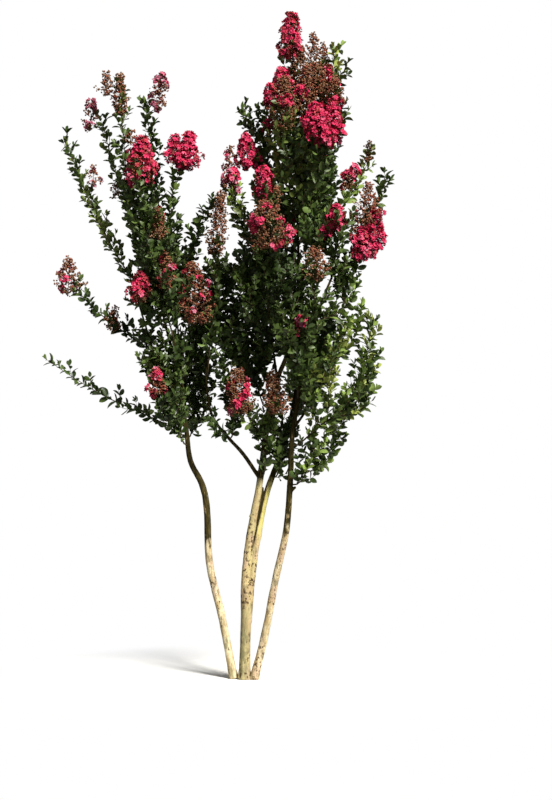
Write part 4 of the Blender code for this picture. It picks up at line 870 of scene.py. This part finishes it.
def grow_mass(plan, name, mass, limbs, looks, chance):
    """A mass's shoots, its side sprays, their finer sprays, and leaf pairs on all of them."""
    leaf, twig = looks.crape_leaves, looks.crape_twigs
    limb = limbs[mass.limb]
    lines = []
    for i, places in enumerate(mass.shoots):
        points = [Vector(p) for p in places]
        if i == 0:
            if mass.height is None:
                start = limb.line[-1]
                run = [start, start + limb.tip_direction() * COLLAR] + points
            else:
                start, radius = limb.at_height(mass.height)
                away = points[0] - start
                away.z *= 0.3
                run = [start, start + away.normalized() * (radius + COLLAR)] + points
            foot = twig.stem
        else:
            joint = min(lines[0], key=lambda p: (p - points[0]).length_squared)
            run = [joint] + points[1:]
            foot = twig.spray * 1.4
        line, _ = smooth_line(run, 0.05)
        lines.append(line)
        plan.twigs.append((line, taper(len(line), foot, twig.tip * 1.4)))
    heart = sum((p for line in lines for p in line), Vector()) / sum(len(line) for line in lines)
    turn = chance.uniform(0, math.pi)
    for i, line in enumerate(lines):
        total = line_length(line)
        green = GREENS[chance.choice(mass.greens)]
        start = total * mass.bare + 0.04
        leaf_pairs(plan, name, line, leaf.stem_step, start, green, leaf.length, heart, chance)
        count = max(1, round(mass.density * total))
        first = total * max(mass.bare, 0.12)
        for point, tangent, share in walk(line, (total - first) / count, first):
            turn += GOLDEN_ANGLE
            lift = math.radians(chance.uniform(36, 64))
            profile = math.sqrt(max(0.2, 1 - (1.75 * share - 0.92) ** 2))
            reach = mass.reach * profile * (1.0 if i == 0 else SIDE_SHOOT_REACH)
            length = (reach * chance.uniform(0.75, 1.05) - leaf.length * 0.45) / math.sin(lift)
            length = max(length, SHORTEST_SPRAY)
            spray = side_line(point, tangent, turn, lift, length, chance)
            green = GREENS[chance.choice(mass.greens)]
            plan.twigs.append((spray, taper(len(spray), twig.spray, twig.tip)))
            leaf_pairs(plan, name, spray, leaf.step, leaf.step * 0.6, green, leaf.length * 0.94, heart,
                       chance)
            if length > FINER_FROM:
                grow_finer(plan, name, mass, spray, green, heart, looks, chance)
    for head in mass.heads:
        grow_head(plan, name, head, lines, looks, chance)


def grow_finer(plan, name, mass, spray, green, heart, looks, chance):
    """Short sprays on a side spray."""
    leaf, twig = looks.crape_leaves, looks.crape_twigs
    step = line_length(spray) / (mass.finer + 1)
    turn = chance.uniform(0, math.pi)
    for point, tangent, share in walk(spray, step, step):
        if share > 0.95:
            continue
        turn += GOLDEN_ANGLE
        lift = math.radians(chance.uniform(40, 62))
        length = chance.uniform(0.05, 0.10) * (1.1 - 0.4 * share)
        finer = side_line(point, tangent, turn, lift, length, chance)
        plan.twigs.append((finer, taper(len(finer), twig.spray * 0.7, twig.tip)))
        leaf_pairs(plan, name, finer, leaf.step * 0.95, leaf.step * 0.5, green, leaf.length * 0.86, heart,
                   chance)


@dataclass
class Head:
    """The outline of one head: a leaning axis, a cone's widths, and lumps that differ from head to head."""

    foot: Vector
    lean: Vector
    length: float
    width: float
    offset: Vector

    def axis(self, share):
        return self.foot + self.lean * (self.length * max(0.0, share))

    def spot(self, share, angle, reach):
        """A place at a share of the height, an angle round the axis and a share of the half width."""
        rise = min(1.0, HEAD_FOOT + (1 - HEAD_FOOT) * share / WIDEST)
        fall = 1.0 - (1 - HEAD_TIP) * max(0.0, (share - WIDEST) / (1 - WIDEST)) ** 1.15
        out = Vector((math.cos(angle), math.sin(angle), 0))
        lump = noise.noise(out * 1.3 + self.offset + Vector((0, 0, share * self.length * 14)))
        return self.axis(share) + out * (self.width / 2 * rise * fall * reach * (1 + HEAD_LUMPS * lump))


def grow_head(plan, name, head, lines, looks, chance):
    """A flower or seed head: a stalk, and side stalks set by the golden angle with a cluster at each end."""
    kind, x, y, z, length, width = head
    flower_cover, case_cover, petals, cases, open_above, room = HEADS[kind]
    centre = Vector((x, y, z))
    lean = Vector((chance.uniform(-0.1, 0.1), chance.uniform(-0.1, 0.1), 1)).normalized()
    foot = centre - lean * (length / 2)
    shape = Head(foot, lean, length, width, centre * 9)
    shoot_points = (p for line in lines for p in line)
    joint = min(shoot_points, key=lambda p: (p - foot).length + max(0, p.z - foot.z))
    twig = looks.crape_twigs
    if (joint - foot).length > 0.01:
        plan.twigs.append(([joint, joint.lerp(foot, 0.5) + Vector((0, 0, 0.008)), foot],
                           [twig.spray * 1.2, twig.spray, twig.spray * 0.9]))
    plan.twigs.append(([foot, centre, foot + lean * length],
                       [twig.spray * 0.9, twig.spray * 0.7, twig.tip * 0.7]))
    flower = looks.crape_blossom.flower
    case = looks.crape_seeds.case
    area = math.pi * width * length * 0.8
    stalks = max(6, round(area / room))
    flowers_each = max(2, round(flower_cover * area / (flower ** 2 * FLOWER_ROOM) / stalks))
    cases_each = round(case_cover * area / (CASE_ROOM ** 2) / stalks)
    wander = chance.uniform(0, math.pi)
    for i in range(stalks):
        share = (i + 0.5) / stalks
        tip = shape.spot(share, wander + GOLDEN_ANGLE * i, chance.uniform(0.72, 1.02))
        root = shape.axis(share - 0.12)
        plan.stalks.append(([root, root.lerp(tip, 0.55) - Vector((0, 0, 0.004)), tip], SIDE_STALK))
        out = (tip - root).normalized()
        open_cluster = noise.noise(tip * CLUSTER_SCALE + shape.offset) > open_above
        for k in range(cases_each):
            along = 1.03 - 0.55 * (k / cases_each) ** 0.9
            near = root.lerp(tip, along) + scatter(chance, CASE_SCATTER)
            tint = chance.choice(cases)
            size = chance.uniform(0.72, 1.15) * case
            plan.cases[tint].append((near, size, scatter(chance, 1).normalized()))
            plan.note("seed_cases_" + tint, name)
            if k % 2 == 0:
                plan.stalks.append(([root.lerp(tip, max(0.2, along - 0.18)), near], CASE_STALK))
        if flower_cover == 0 or not open_cluster:
            continue
        deep = root.lerp(tip, 0.62)
        for k in range(flowers_each):
            away = (out * 0.8 + scatter(chance, 0.75)).normalized()
            spot = tip - out * CLUSTER_SIZE * 0.5 + away * CLUSTER_SIZE * chance.uniform(0.75, 1.1)
            tint = PINKS[chance.choice(petals)]
            facing = (away + out * 0.3 + UP * 0.15 + scatter(chance, 0.22)).normalized()
            plan.flowers[tint].append((spot, facing, flower * chance.uniform(0.72, 1.12)))
            plan.note("petals_" + tint, name)
            plan.stalks.append(([deep, spot], FLOWER_STALK))


def grown_plan(looks):
    """The whole plan, worked out the first time it is wanted."""
    if not PLANS:
        plan = Plan()
        limbs = limb_lines()
        for i, (name, mass) in enumerate(MASSES.items()):
            plan.note("twigs", name)
            grow_mass(plan, name, mass, limbs, looks, random.Random(SEED + i))
        PLANS.append(plan)
    return PLANS[0]


PLANS = []


# Materials

def new_material(name):
    made = bpy.data.materials.new(name)
    made.use_nodes = True
    return made, made.node_tree, made.node_tree.nodes["Principled BSDF"]


def feed(tree, socket, value):
    """Gives a socket another socket's output, a number, a vector or a colour."""
    if isinstance(value, bpy.types.NodeSocket):
        tree.links.new(value, socket)
    elif socket.type == "RGBA":
        socket.default_value = (*tuple(value)[:3], 1.0)
    else:
        socket.default_value = value


def feed_all(tree, sockets, values):
    for key, value in values.items():
        feed(tree, sockets[key], value)


def node(tree, kind, values=None, **settings):
    """A new node with its settings, and values for its sockets by name or number."""
    made = tree.nodes.new(kind)
    for key, value in settings.items():
        setattr(made, key, value)
    feed_all(tree, made.inputs, values or {})
    return made


def group_tree(name, inputs):
    """A new shader node group with named sockets: its tree, what it is given, and what it gives."""
    tree = bpy.data.node_groups.new(name, "ShaderNodeTree")
    for label, kind, default in inputs:
        made = tree.interface.new_socket(label, in_out="INPUT", socket_type=kind)
        if default is not None:
            made.default_value = default
    for label, kind in (("Colour", COLOUR), ("Roughness", NUMBER), ("Height", NUMBER)):
        tree.interface.new_socket(label, in_out="OUTPUT", socket_type=kind)
    return tree, tree.nodes.new("NodeGroupInput").outputs, tree.nodes.new("NodeGroupOutput").inputs


def object_places(tree):
    return node(tree, "ShaderNodeTexCoord").outputs["Object"]


def scaled_places(tree, height_scale):
    """Places on the object in metres, with their heights scaled."""
    values = {"Vector": object_places(tree), "Scale": (1.0, 1.0, height_scale)}
    return node(tree, "ShaderNodeMapping", values).outputs["Vector"]


def noise_value(tree, places, scale, detail, roughness=0.5):
    values = {"Vector": places, "Scale": scale, "Detail": detail, "Roughness": roughness}
    return node(tree, "ShaderNodeTexNoise", values).outputs["Fac"]


def noise_mask(tree, places, scale, low, high, detail=3.0, roughness=0.55):
    """Noise turned into a mask that goes from 0 at low to 1 at high."""
    return remap(tree, noise_value(tree, places, scale, detail, roughness), low, high)


def remap(tree, value, low, high, to_low=0.0, to_high=1.0):
    values = {"Value": value, "From Min": low, "From Max": high, "To Min": to_low, "To Max": to_high}
    return node(tree, "ShaderNodeMapRange", values).outputs["Result"]


def maths(tree, operation, a, b):
    return node(tree, "ShaderNodeMath", {0: a, 1: b}, operation=operation).outputs[0]


def times(tree, *values):
    """The product of two or more values."""
    product = values[0]
    for value in values[1:]:
        product = maths(tree, "MULTIPLY", product, value)
    return product


def mixed(tree, share, a, b):
    """Colour a turned to colour b by a share."""
    return node(tree, "ShaderNodeMix", {0: share, 6: a, 7: b}, data_type="RGBA").outputs[2]


def bark_group():
    """Shed bark: cream, tan, rose and grey patches, flecks, a stained foot, and painted crown shadow higher
    up.
    """
    tree, given, result = group_tree(
        "crape_bark_surface",
        [(label.capitalize(), COLOUR, None) for label in BARK_COLOURS]
        + [("Old from", NUMBER, 1.0), ("Stain", NUMBER, 0.3), ("Seam", NUMBER, 0.0)])
    spaces = {name: scaled_places(tree, scale) for name, scale in BARK_SPACES.items()}
    masks = {name: noise_mask(tree, spaces[space], *rest) for name, (space, *rest) in BARK_MASKS.items()}
    axes = node(tree, "ShaderNodeSeparateXYZ", {0: object_places(tree)}).outputs
    x, z = axes["X"], axes["Z"]
    flecks = times(tree, masks["flecks"], remap(tree, masks["crowded"], 0.0, 1.0, SPARSE_FLECKS, 1.0))
    flecks = maths(tree, "MAXIMUM", flecks, masks["scars"])
    colour = given["Cream"]
    for mask, strength, label in BARK_LAYERS:
        colour = mixed(tree, times(tree, masks[mask], strength), colour, given[label])
    foot = times(tree, remap(tree, z, *STAIN_HEIGHTS), remap(tree, x, *STAIN_SIDES))
    colour = mixed(tree, times(tree, foot, masks["blotches"], given["Stain"]), colour, given["Grey"])
    colour = mixed(tree, flecks, colour, given["Fleck"])
    # Painted crown shadow: above a wavy height the bark turns dark, with lighter ridges and some tan patches.
    edge = noise_value(tree, spaces["tall"], *SHADOW_EDGE_NOISE)
    wavy = maths(tree, "ADD", z, times(tree, edge, SHADOW_EDGE_WAVE))
    shadow_share = remap(tree, maths(tree, "SUBTRACT", wavy, given["Old from"]), *SHADOW_EDGE)
    # Painted crevice shade between the middle stems, on the middle piece only, and a painted sunlit side to
    # its right.
    left_side = maths(tree, "ADD", times(tree, z, -CREVICE_SHADE_LEANS[0]), x)
    right_side = maths(tree, "SUBTRACT", times(tree, z, CREVICE_SHADE_LEANS[1]), x)
    waver = times(tree, maths(tree, "SUBTRACT", edge, 0.5), CREVICE_SHADE_WAVER)
    crevice_shade = times(tree, remap(tree, maths(tree, "ADD", left_side, waver), *CREVICE_SHADE_LEFT),
                   remap(tree, maths(tree, "ADD", right_side, waver), *CREVICE_SHADE_RIGHT),
                   remap(tree, z, *CREVICE_SHADE_HEIGHTS), given["Seam"])
    sunlit = times(tree, remap(tree, right_side, *SUNLIT_SIDE), remap(tree, z, *SUNLIT_HEIGHTS),
                   given["Seam"], SUNLIT_SHARE)
    colour = mixed(tree, sunlit, colour, given["Yellow"])
    shadow_share = maths(tree, "MAXIMUM", shadow_share, crevice_shade)
    old = mixed(tree, masks["ridges"], given["Old"], given["Ridge"])
    old = mixed(tree, times(tree, masks["bared"], 0.55), old, given["Tan"])
    # Painted shade: the crown shadow is darker still inside the crown and in the crevice between the middle
    # stems.
    crown_shade = times(tree, remap(tree, z, *CROWN_SHADE_HEIGHTS), 0.75)
    shaded = maths(tree, "MAXIMUM", crown_shade, times(tree, crevice_shade, 0.85))
    old = mixed(tree, shaded, old, given["Old"])
    smooth_part = remap(tree, masks["patches"], 0.0, 1.0, 0.50, 0.66)
    height = maths(tree, "ADD", times(tree, masks["patches"], 0.45), times(tree, masks["streaks"], 0.25))
    height = maths(tree, "SUBTRACT", height, times(tree, flecks, 0.4))
    feed_all(tree, result, {
        "Colour": mixed(tree, shadow_share, colour, old),
        "Roughness": maths(tree, "ADD", smooth_part, times(tree, shadow_share, 0.2)),
        "Height": maths(tree, "ADD", height, times(tree, masks["ridges"], shadow_share, 0.9)),
    })
    return tree


def growth_group():
    """The surface of a leaf, petal, seed case or twig: its plain colour a little varied, and fine veins."""
    tree, given, result = group_tree("crape_growth_surface", [
        ("Colour", COLOUR, None), ("Shade", COLOUR, None), ("Patch scale", NUMBER, 24.0),
        ("Vein scale", NUMBER, 420.0), ("Roughness", NUMBER, 0.5)])
    places = object_places(tree)
    varied = remap(tree, noise_value(tree, places, given["Patch scale"], 2.0), 0.34, 0.66)
    fine = remap(tree, noise_value(tree, places, given["Vein scale"], 3.0), 0.3, 0.7)
    share = maths(tree, "ADD", times(tree, varied, 0.75), times(tree, fine, 0.25))
    feed_all(tree, result, {
        "Colour": mixed(tree, share, given["Shade"], given["Colour"]),
        "Roughness": maths(tree, "ADD", given["Roughness"], times(tree, fine, 0.16)),
        "Height": fine,
    })
    return tree


GROUPS = {}


def surface_node(tree, maker, values):
    """A node of the group that the maker makes, which is made once."""
    if maker not in GROUPS:
        GROUPS[maker] = maker()
    return node(tree, "ShaderNodeGroup", values, node_tree=GROUPS[maker]).outputs


def coat(tree, shader, surface, colour, bump, specular):
    """Joins a surface to the shader. Its height becomes a bump of a strength and a depth."""
    strength, depth = bump
    values = {"Strength": strength, "Distance": depth, "Height": surface["Height"]}
    feed_all(tree, shader.inputs, {
        "Base Color": colour,
        "Roughness": surface["Roughness"],
        "Normal": node(tree, "ShaderNodeBump", values).outputs["Normal"],
        "Specular IOR Level": specular,
    })


def bark_material(name, look, shadow_from, stain, painted_light, cream):
    made, tree, shader = new_material(name)
    values = {label.capitalize(): getattr(look, label) for label in BARK_COLOURS}
    values.update({"Old from": shadow_from, "Cream": cream, "Stain": stain, "Seam": painted_light})
    surface = surface_node(tree, bark_group, values)
    coat(tree, shader, surface, surface["Colour"], BARK_BUMP, BARK_SHINE)
    return made


def growth_material(name, kind, colour, under=None):
    """A material for leaves, petals, seed cases or twigs. Under is the colour of a leaf's underside."""
    made, tree, shader = new_material(name)
    shade, roughness, patch, vein, specular = GROWTH_LOOKS[kind]
    surface = surface_node(tree, growth_group, {
        "Colour": colour, "Shade": tuple(c * shade for c in colour), "Patch scale": patch, "Vein scale": vein,
        "Roughness": roughness})
    tint = surface["Colour"]
    if under:
        tint = mixed(tree, node(tree, "ShaderNodeNewGeometry").outputs["Backfacing"], tint, under)
    coat(tree, shader, surface, tint, GROWTH_BUMP, specular)
    return made


# Pieces

def neighbours_mean(points, edges):
    """For each corner, the mean of the corners that it shares an edge with."""
    count = len(points)
    total = np.zeros_like(points)
    for a, b in ((0, 1), (1, 0)):
        for axis in range(3):
            total[:, axis] += np.bincount(edges[:, a], points[edges[:, b], axis], count)
    degree = np.bincount(edges[:, 0], minlength=count) + np.bincount(edges[:, 1], minlength=count)
    return total / np.maximum(degree, 1)[:, None]


def bark_piece(name, limb_names, limbs, look, shadow_from, stain, painted_light, cream):
    """One mesh of bark over a trunk and its boughs: joined, smoothed, then fluted and flaked."""
    corners = []
    faces = []
    runs = [(limbs[limb_name].line, limbs[limb_name].radii) for limb_name in limb_names]
    runs += [([Vector(p) for p in places], radii) for group, places, radii in KNOBS if group == name]
    for line, radii in runs:
        more, sides = closed_tube(line, radii, BARK_SIDES)
        faces.extend(tuple(i + len(corners) for i in face) for face in sides)
        corners.extend(more)
    mesh = bpy.data.meshes.new(name)
    mesh.from_pydata([tuple(c) for c in corners], [], faces)
    made = scene_object(name, mesh)
    remesh = made.modifiers.new("join", "REMESH")
    remesh.mode = "VOXEL"
    remesh.voxel_size = look.grain
    evaluated = made.evaluated_get(bpy.context.evaluated_depsgraph_get())
    made.data = bpy.data.meshes.new_from_object(evaluated)
    made.modifiers.clear()
    mesh = made.data
    points = read_array(mesh.vertices, "co", 3).astype(float)
    edges = read_array(mesh.edges, "vertices", 2, np.int32)
    for push in BARK_SMOOTHING:
        points += (neighbours_mean(points, edges) - points) * push
    move_corners(mesh, points)
    lift = np.array([bark_relief(p, look, shadow_from) for p in points])
    points += read_array(mesh.vertex_normals, "vector", 3) * lift[:, None]
    points[:, 2] = np.maximum(points[:, 2], 0.0)
    move_corners(mesh, points)
    mesh.shade_smooth()
    mesh.materials.clear()
    mesh.materials.append(bark_material(name + "_bark", look, shadow_from, stain, painted_light, cream))
    return made


def bark_relief(place, look, shadow_from):
    """How far the bark stands out at a place: ribs, the edges of shed flakes, and rougher grain where the
    painted crown shadow lies.
    """
    z = place[2]
    thick = 0.35 + 0.65 * math.exp(-max(0.0, z - 0.6) / 0.6)
    rib = waves(place, RIB_WAVES) * look.flute * thick
    step = look.flake * max(-1.0, min(1.0, waves(place, FLAKE_WAVES, 7) * 9)) * 0.5
    old = 1.0 if z > shadow_from else 0.35
    return rib + step * thick + waves(place, GRAIN_WAVES) * GRAIN_HEIGHT * old


def waves(place, scales, aside=0):
    """Smooth noise at a place, with a scale for each axis."""
    x, y, z = (p * scale for p, scale in zip(place, scales))
    return noise.noise(Vector((x + aside, y, z)))


def dress(made, nodes):
    """Rides the piece on the tree's one body and hides the solids that it stands for."""
    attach(made, BODY)
    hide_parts(*sorted(nodes))


def leaf_arrays(leaves, width_share):
    """Corners and triangles of many leaves: folded along the midrib and curved back to the tip."""
    rows = ((0.14, 0.55), (0.40, 0.96), (0.66, 0.97), (0.87, 0.60))
    columns = [np.array(column) for column in zip(*leaves)]
    root, direction, side, length, fold, curl = columns
    up = np.cross(side, direction)
    along = [0.0] + [u for u, _ in rows for _ in range(3)] + [1.0]
    across = [0.0] + [s * w for _, w in rows for s in (-1, 0, 1)] + [0.0]
    along, across = np.array(along), np.array(across)
    half = (length * width_share / 2)[:, None]
    rise = np.abs(across) * half * fold[:, None] * 2 - along ** 2 * (length * curl)[:, None]
    templates = np.stack([along * length[:, None], across * half, rise], axis=-1)
    faces = [(0, 2, 1), (0, 3, 2)]
    for i in range(len(rows) - 1):
        a, b = 1 + 3 * i, 4 + 3 * i
        for k in (0, 1):
            faces += [(a + k, a + k + 1, b + k + 1), (a + k, b + k + 1, b + k)]
    last = 1 + 3 * (len(rows) - 1)
    faces += [(last, last + 1, last + 3), (last + 1, last + 2, last + 3)]
    corners = placed(templates, root, (direction, side, up))
    return corners, repeated(np.array(faces), len(leaves), len(along))


def flower_arrays(flowers, chance):
    """Corners and triangles of many flowers: six clawed, crumpled petals each."""
    outline = np.array([(0.05, 0.0), (0.26, -0.10), (0.46, -0.40), (0.88, -0.44), (1.05, 0.03), (0.90, 0.45),
                        (0.48, 0.41), (0.26, 0.10), (0.68, 0.0)])
    faces = [(0, 1, 7)] + [(8, a, a % 7 + 1) for a in range(1, 8)]
    faces = np.array(faces)[:, ::-1]
    count = len(flowers) * 6
    spot, facing, size = (np.repeat(np.array(column), 6, axis=0) for column in zip(*flowers))
    facing = unit(facing)
    size = size / 2
    start = np.repeat(chance.uniform(0, math.pi, len(flowers)), 6)
    angle = start + np.tile(np.arange(6) * math.pi / 3, len(flowers)) + chance.normal(0, 0.16, count)
    east, north = square_to(facing)
    radial = east * np.cos(angle)[:, None] + north * np.sin(angle)[:, None]
    tangent = np.cross(facing, radial)
    local = np.repeat(outline[None, :, :], count, axis=0)
    crumple = chance.normal(0, 1.0, (count, 9))
    local[:, 2:7, :] += chance.normal(0, 0.07, (count, 5, 2))
    rise = 0.08 + 0.26 * local[:, :, 0] + crumple * 0.20 * (np.arange(9) > 1)
    rise[:, 0] = 0.0
    tilt = chance.uniform(-0.25, 0.35, count)[:, None]
    rise += tilt * local[:, :, 0]
    templates = np.concatenate([local, rise[:, :, None]], axis=-1) * size[:, None, None]
    return placed(templates, spot, (radial, tangent, facing)), repeated(faces, count, 9)


def case_arrays(cases):
    """Corners and triangles of many seed cases: small round balls with a point."""
    levels = ((-0.45, 0.92), (0.42, 0.88))
    sides = 4
    local = [(0.0, 0.0, -1.0)]
    for i, (height, radius) in enumerate(levels):
        for k in range(sides):
            angle = 2 * math.pi * (k + 0.5 * (i % 2)) / sides
            local.append((math.cos(angle) * radius, math.sin(angle) * radius, height))
    local.append((0.0, 0.0, 1.3))
    faces = []
    for k in range(sides):
        n = (k + 1) % sides
        faces += [(0, 1 + n, 1 + k), (2 * sides + 1, 1 + sides + k, 1 + sides + n)]
        faces += [(1 + k, 1 + n, 1 + sides + n), (1 + k, 1 + sides + n, 1 + sides + k)]
    spot, size, axis = (np.array(column) for column in zip(*cases))
    templates = np.array(local) * (size / 2)[:, None, None]
    corners = placed(templates, spot, (*square_to(axis), axis))
    return corners, repeated(np.array(faces), len(cases), len(local))


class GrowBark(bpy.types.Operator):
    """Makes the bark of the three trunks and their boughs"""

    bl_idname = "crape_myrtle.grow_bark"
    bl_label = "Grow the bark"

    def execute(self, context):
        look = context.scene.crape_bark
        limbs = limb_lines()
        looks = {"bark_left": (look.shadow_left, look.stain_left, 0.0, look.cream),
                 "bark_centre": (look.shadow_centre, look.stain_centre, 1.0, look.cream_centre),
                 "bark_right": (look.shadow_right, look.stain_right, 0.0, look.cream)}
        for name, limb_names in BARK_GROUPS.items():
            made = bark_piece(name, limb_names, limbs, look, *looks[name])
            dress(made, [n for n in limb_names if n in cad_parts])
        return {"FINISHED"}


class GrowTwigs(bpy.types.Operator):
    """Makes the shoots, sprays and stalks of all masses"""

    bl_idname = "crape_myrtle.grow_twigs"
    bl_label = "Grow the twigs"

    def execute(self, context):
        plan = grown_plan(context.scene)
        look = context.scene.crape_twigs
        young = growth_material("twig_bark", "twig", look.colour)
        dress(mesh_piece("twigs", *tubes(plan.twigs, 4), young), plan.masses["twigs"])
        skin = growth_material("stalk_skin", "stalk", look.stalk)
        dress(mesh_piece("head_stalks", *tubes(plan.stalks, 3), skin), plan.masses["twigs"])
        return {"FINISHED"}


class GrowLeaves(bpy.types.Operator):
    """Makes the leaves, one piece for each green"""

    bl_idname = "crape_myrtle.grow_leaves"
    bl_label = "Grow the leaves"

    def execute(self, context):
        plan = grown_plan(context.scene)
        look = context.scene.crape_leaves
        for green, leaves in plan.leaves.items():
            colour = getattr(look, green)
            skin = growth_material(f"leaf_{green}", "leaf", colour, tuple(c * UNDERSIDE for c in colour))
            made = mesh_piece("leaves_" + green, *leaf_arrays(leaves, look.width), skin)
            dress(made, plan.masses["leaves_" + green])
        return {"FINISHED"}


class GrowBlossom(bpy.types.Operator):
    """Makes the flowers, one piece for each pink"""

    bl_idname = "crape_myrtle.grow_blossom"
    bl_label = "Grow the blossom"

    def execute(self, context):
        plan = grown_plan(context.scene)
        look = context.scene.crape_blossom
        for i, (tint, flowers) in enumerate(plan.flowers.items()):
            skin = growth_material(f"petal_{tint}", "petal", getattr(look, tint))
            arrays = flower_arrays(flowers, np.random.default_rng(SEED + i))
            made = mesh_piece("petals_" + tint, *arrays, skin)
            dress(made, plan.masses["petals_" + tint])
        return {"FINISHED"}


class GrowSeeds(bpy.types.Operator):
    """Makes the seed cases and buds, one piece for each brown"""

    bl_idname = "crape_myrtle.grow_seeds"
    bl_label = "Grow the seed heads"

    def execute(self, context):
        plan = grown_plan(context.scene)
        look = context.scene.crape_seeds
        for tint, cases in plan.cases.items():
            skin = growth_material(f"seed_case_{tint}", "seed_case", getattr(look, tint))
            made = mesh_piece("seed_cases_" + tint, *case_arrays(cases), skin)
            dress(made, plan.masses["seed_cases_" + tint])
        return {"FINISHED"}


class SetStage(bpy.types.Operator):
    """Makes the pale floor, the soft light and the camera"""

    bl_idname = "crape_myrtle.set_stage"
    bl_label = "Set the stage"

    def execute(self, context):
        look = context.scene.crape_stage
        set_floor(look)
        set_light(context.scene, look)
        set_camera(context.scene, look)
        return {"FINISHED"}


def set_floor(look):
    """A round pale floor that fades into the white surroundings towards its rim."""
    sides = 96
    spans = (0.0, 0.08, 0.2, 0.45, 1.0)
    corners = [(0.0, 0.0, FLOOR_HEIGHT)]
    for span in spans[1:]:
        radius = span * look.floor
        for k in range(sides):
            angle = 2 * math.pi * k / sides
            corners.append((math.cos(angle) * radius, math.sin(angle) * radius, FLOOR_HEIGHT))
    faces = [(0, 1 + k, 1 + (k + 1) % sides) for k in range(sides)]
    for i in range(len(spans) - 2):
        a, b = 1 + i * sides, 1 + (i + 1) * sides
        for k in range(sides):
            n = (k + 1) % sides
            faces += [(a + k, b + k, b + n), (a + k, b + n, a + n)]
    paint, tree, shader = new_material("floor_paint")
    places = object_places(tree)
    spread = node(tree, "ShaderNodeVectorMath", {0: places}, operation="LENGTH").outputs["Value"]
    grain = noise_mask(tree, places, 3.0, 0.2, 0.8)
    base = mixed(tree, grain, look.white, tuple(c * 0.985 for c in look.white))
    feed_all(tree, shader.inputs, {"Base Color": base, "Roughness": 0.9, "Specular IOR Level": 0.1})
    glow = node(tree, "ShaderNodeEmission", {"Color": (1, 1, 1), "Strength": white_strength(tree, look)})
    parts = {0: remap(tree, spread, 0.3, 1.5), 1: shader.outputs[0], 2: glow.outputs[0]}
    output = next(n for n in tree.nodes if n.type == "OUTPUT_MATERIAL")
    tree.links.new(node(tree, "ShaderNodeMixShader", parts).outputs[0], output.inputs["Surface"])
    mesh_piece("floor", corners, faces, paint, smooth=False)


def white_strength(tree, look):
    """White to the camera, and dimmer as a light."""
    path = node(tree, "ShaderNodeLightPath")
    return remap(tree, path.outputs["Is Camera Ray"], 0.0, 1.0, look.fill, 1.0)


def set_light(scene, look):
    """White surroundings that light the tree softly, and a broad key light from the upper right."""
    world = bpy.data.worlds.new("surroundings")
    scene.world = world
    world.use_nodes = True
    tree = world.node_tree
    strength = white_strength(tree, look)
    feed_all(tree, tree.nodes["Background"].inputs, {"Color": (1, 1, 1), "Strength": strength})
    key = bpy.data.lights.new("key", "SUN")
    key.energy = look.key
    key.angle = math.radians(14)
    key.color = (1.0, 0.97, 0.91)
    sun = scene_object("key", key)
    sun.rotation_mode = "QUATERNION"
    sun.rotation_quaternion = Vector((0.52, -0.62, 0.80)).to_track_quat("Z", "Y")


def set_camera(scene, look):
    """The photograph's view: level, at eye height, ten metres off."""
    lens = bpy.data.cameras.new("camera")
    lens.lens = look.lens
    lens.sensor_width = 36.0
    lens.clip_end = 200.0
    camera = scene_object("camera", lens)
    camera.location = (look.aside, -look.distance, look.eye)
    camera.rotation_euler = (math.radians(90), 0, 0)
    scene.camera = camera
    scene.view_settings.view_transform = "Standard"


class CrapePanel(bpy.types.Panel):
    """Lists the pieces of the crape myrtle"""

    bl_idname = "VIEW3D_PT_crape_myrtle"
    bl_label = "Crape myrtle"
    bl_space_type = "VIEW_3D"
    bl_region_type = "UI"
    bl_category = "Crape myrtle"

    def draw(self, context):
        for operator in OPERATORS:
            self.layout.operator(operator.bl_idname)
        for attribute, group in GROUPS_OF_SIZES.items():
            box = self.layout.box()
            box.label(text=group.__doc__)
            for prop in group.__annotations__:
                box.prop(getattr(context.scene, attribute), prop)


GROUPS_OF_SIZES = {
    "crape_bark": CrapeBark,
    "crape_twigs": CrapeTwigs,
    "crape_leaves": CrapeLeaves,
    "crape_blossom": CrapeBlossom,
    "crape_seeds": CrapeSeeds,
    "crape_stage": CrapeStage,
}
OPERATORS = (GrowBark, GrowTwigs, GrowLeaves, GrowBlossom, GrowSeeds, SetStage)


def register():
    for group in GROUPS_OF_SIZES.values():
        bpy.utils.register_class(group)
    for operator in (*OPERATORS, CrapePanel):
        bpy.utils.register_class(operator)
    for attribute, group in GROUPS_OF_SIZES.items():
        setattr(bpy.types.Scene, attribute, PointerProperty(type=group))


def unregister():
    for attribute in GROUPS_OF_SIZES:
        delattr(bpy.types.Scene, attribute)
    for made in (CrapePanel, *reversed(OPERATORS), *reversed(GROUPS_OF_SIZES.values())):
        bpy.utils.unregister_class(made)


def main():
    register()
    bpy.ops.crape_myrtle.grow_bark()
    bpy.ops.crape_myrtle.grow_twigs()
    bpy.ops.crape_myrtle.grow_leaves()
    bpy.ops.crape_myrtle.grow_blossom()
    bpy.ops.crape_myrtle.grow_seeds()
    bpy.ops.crape_myrtle.set_stage()


if __name__ == "__main__":
    main()
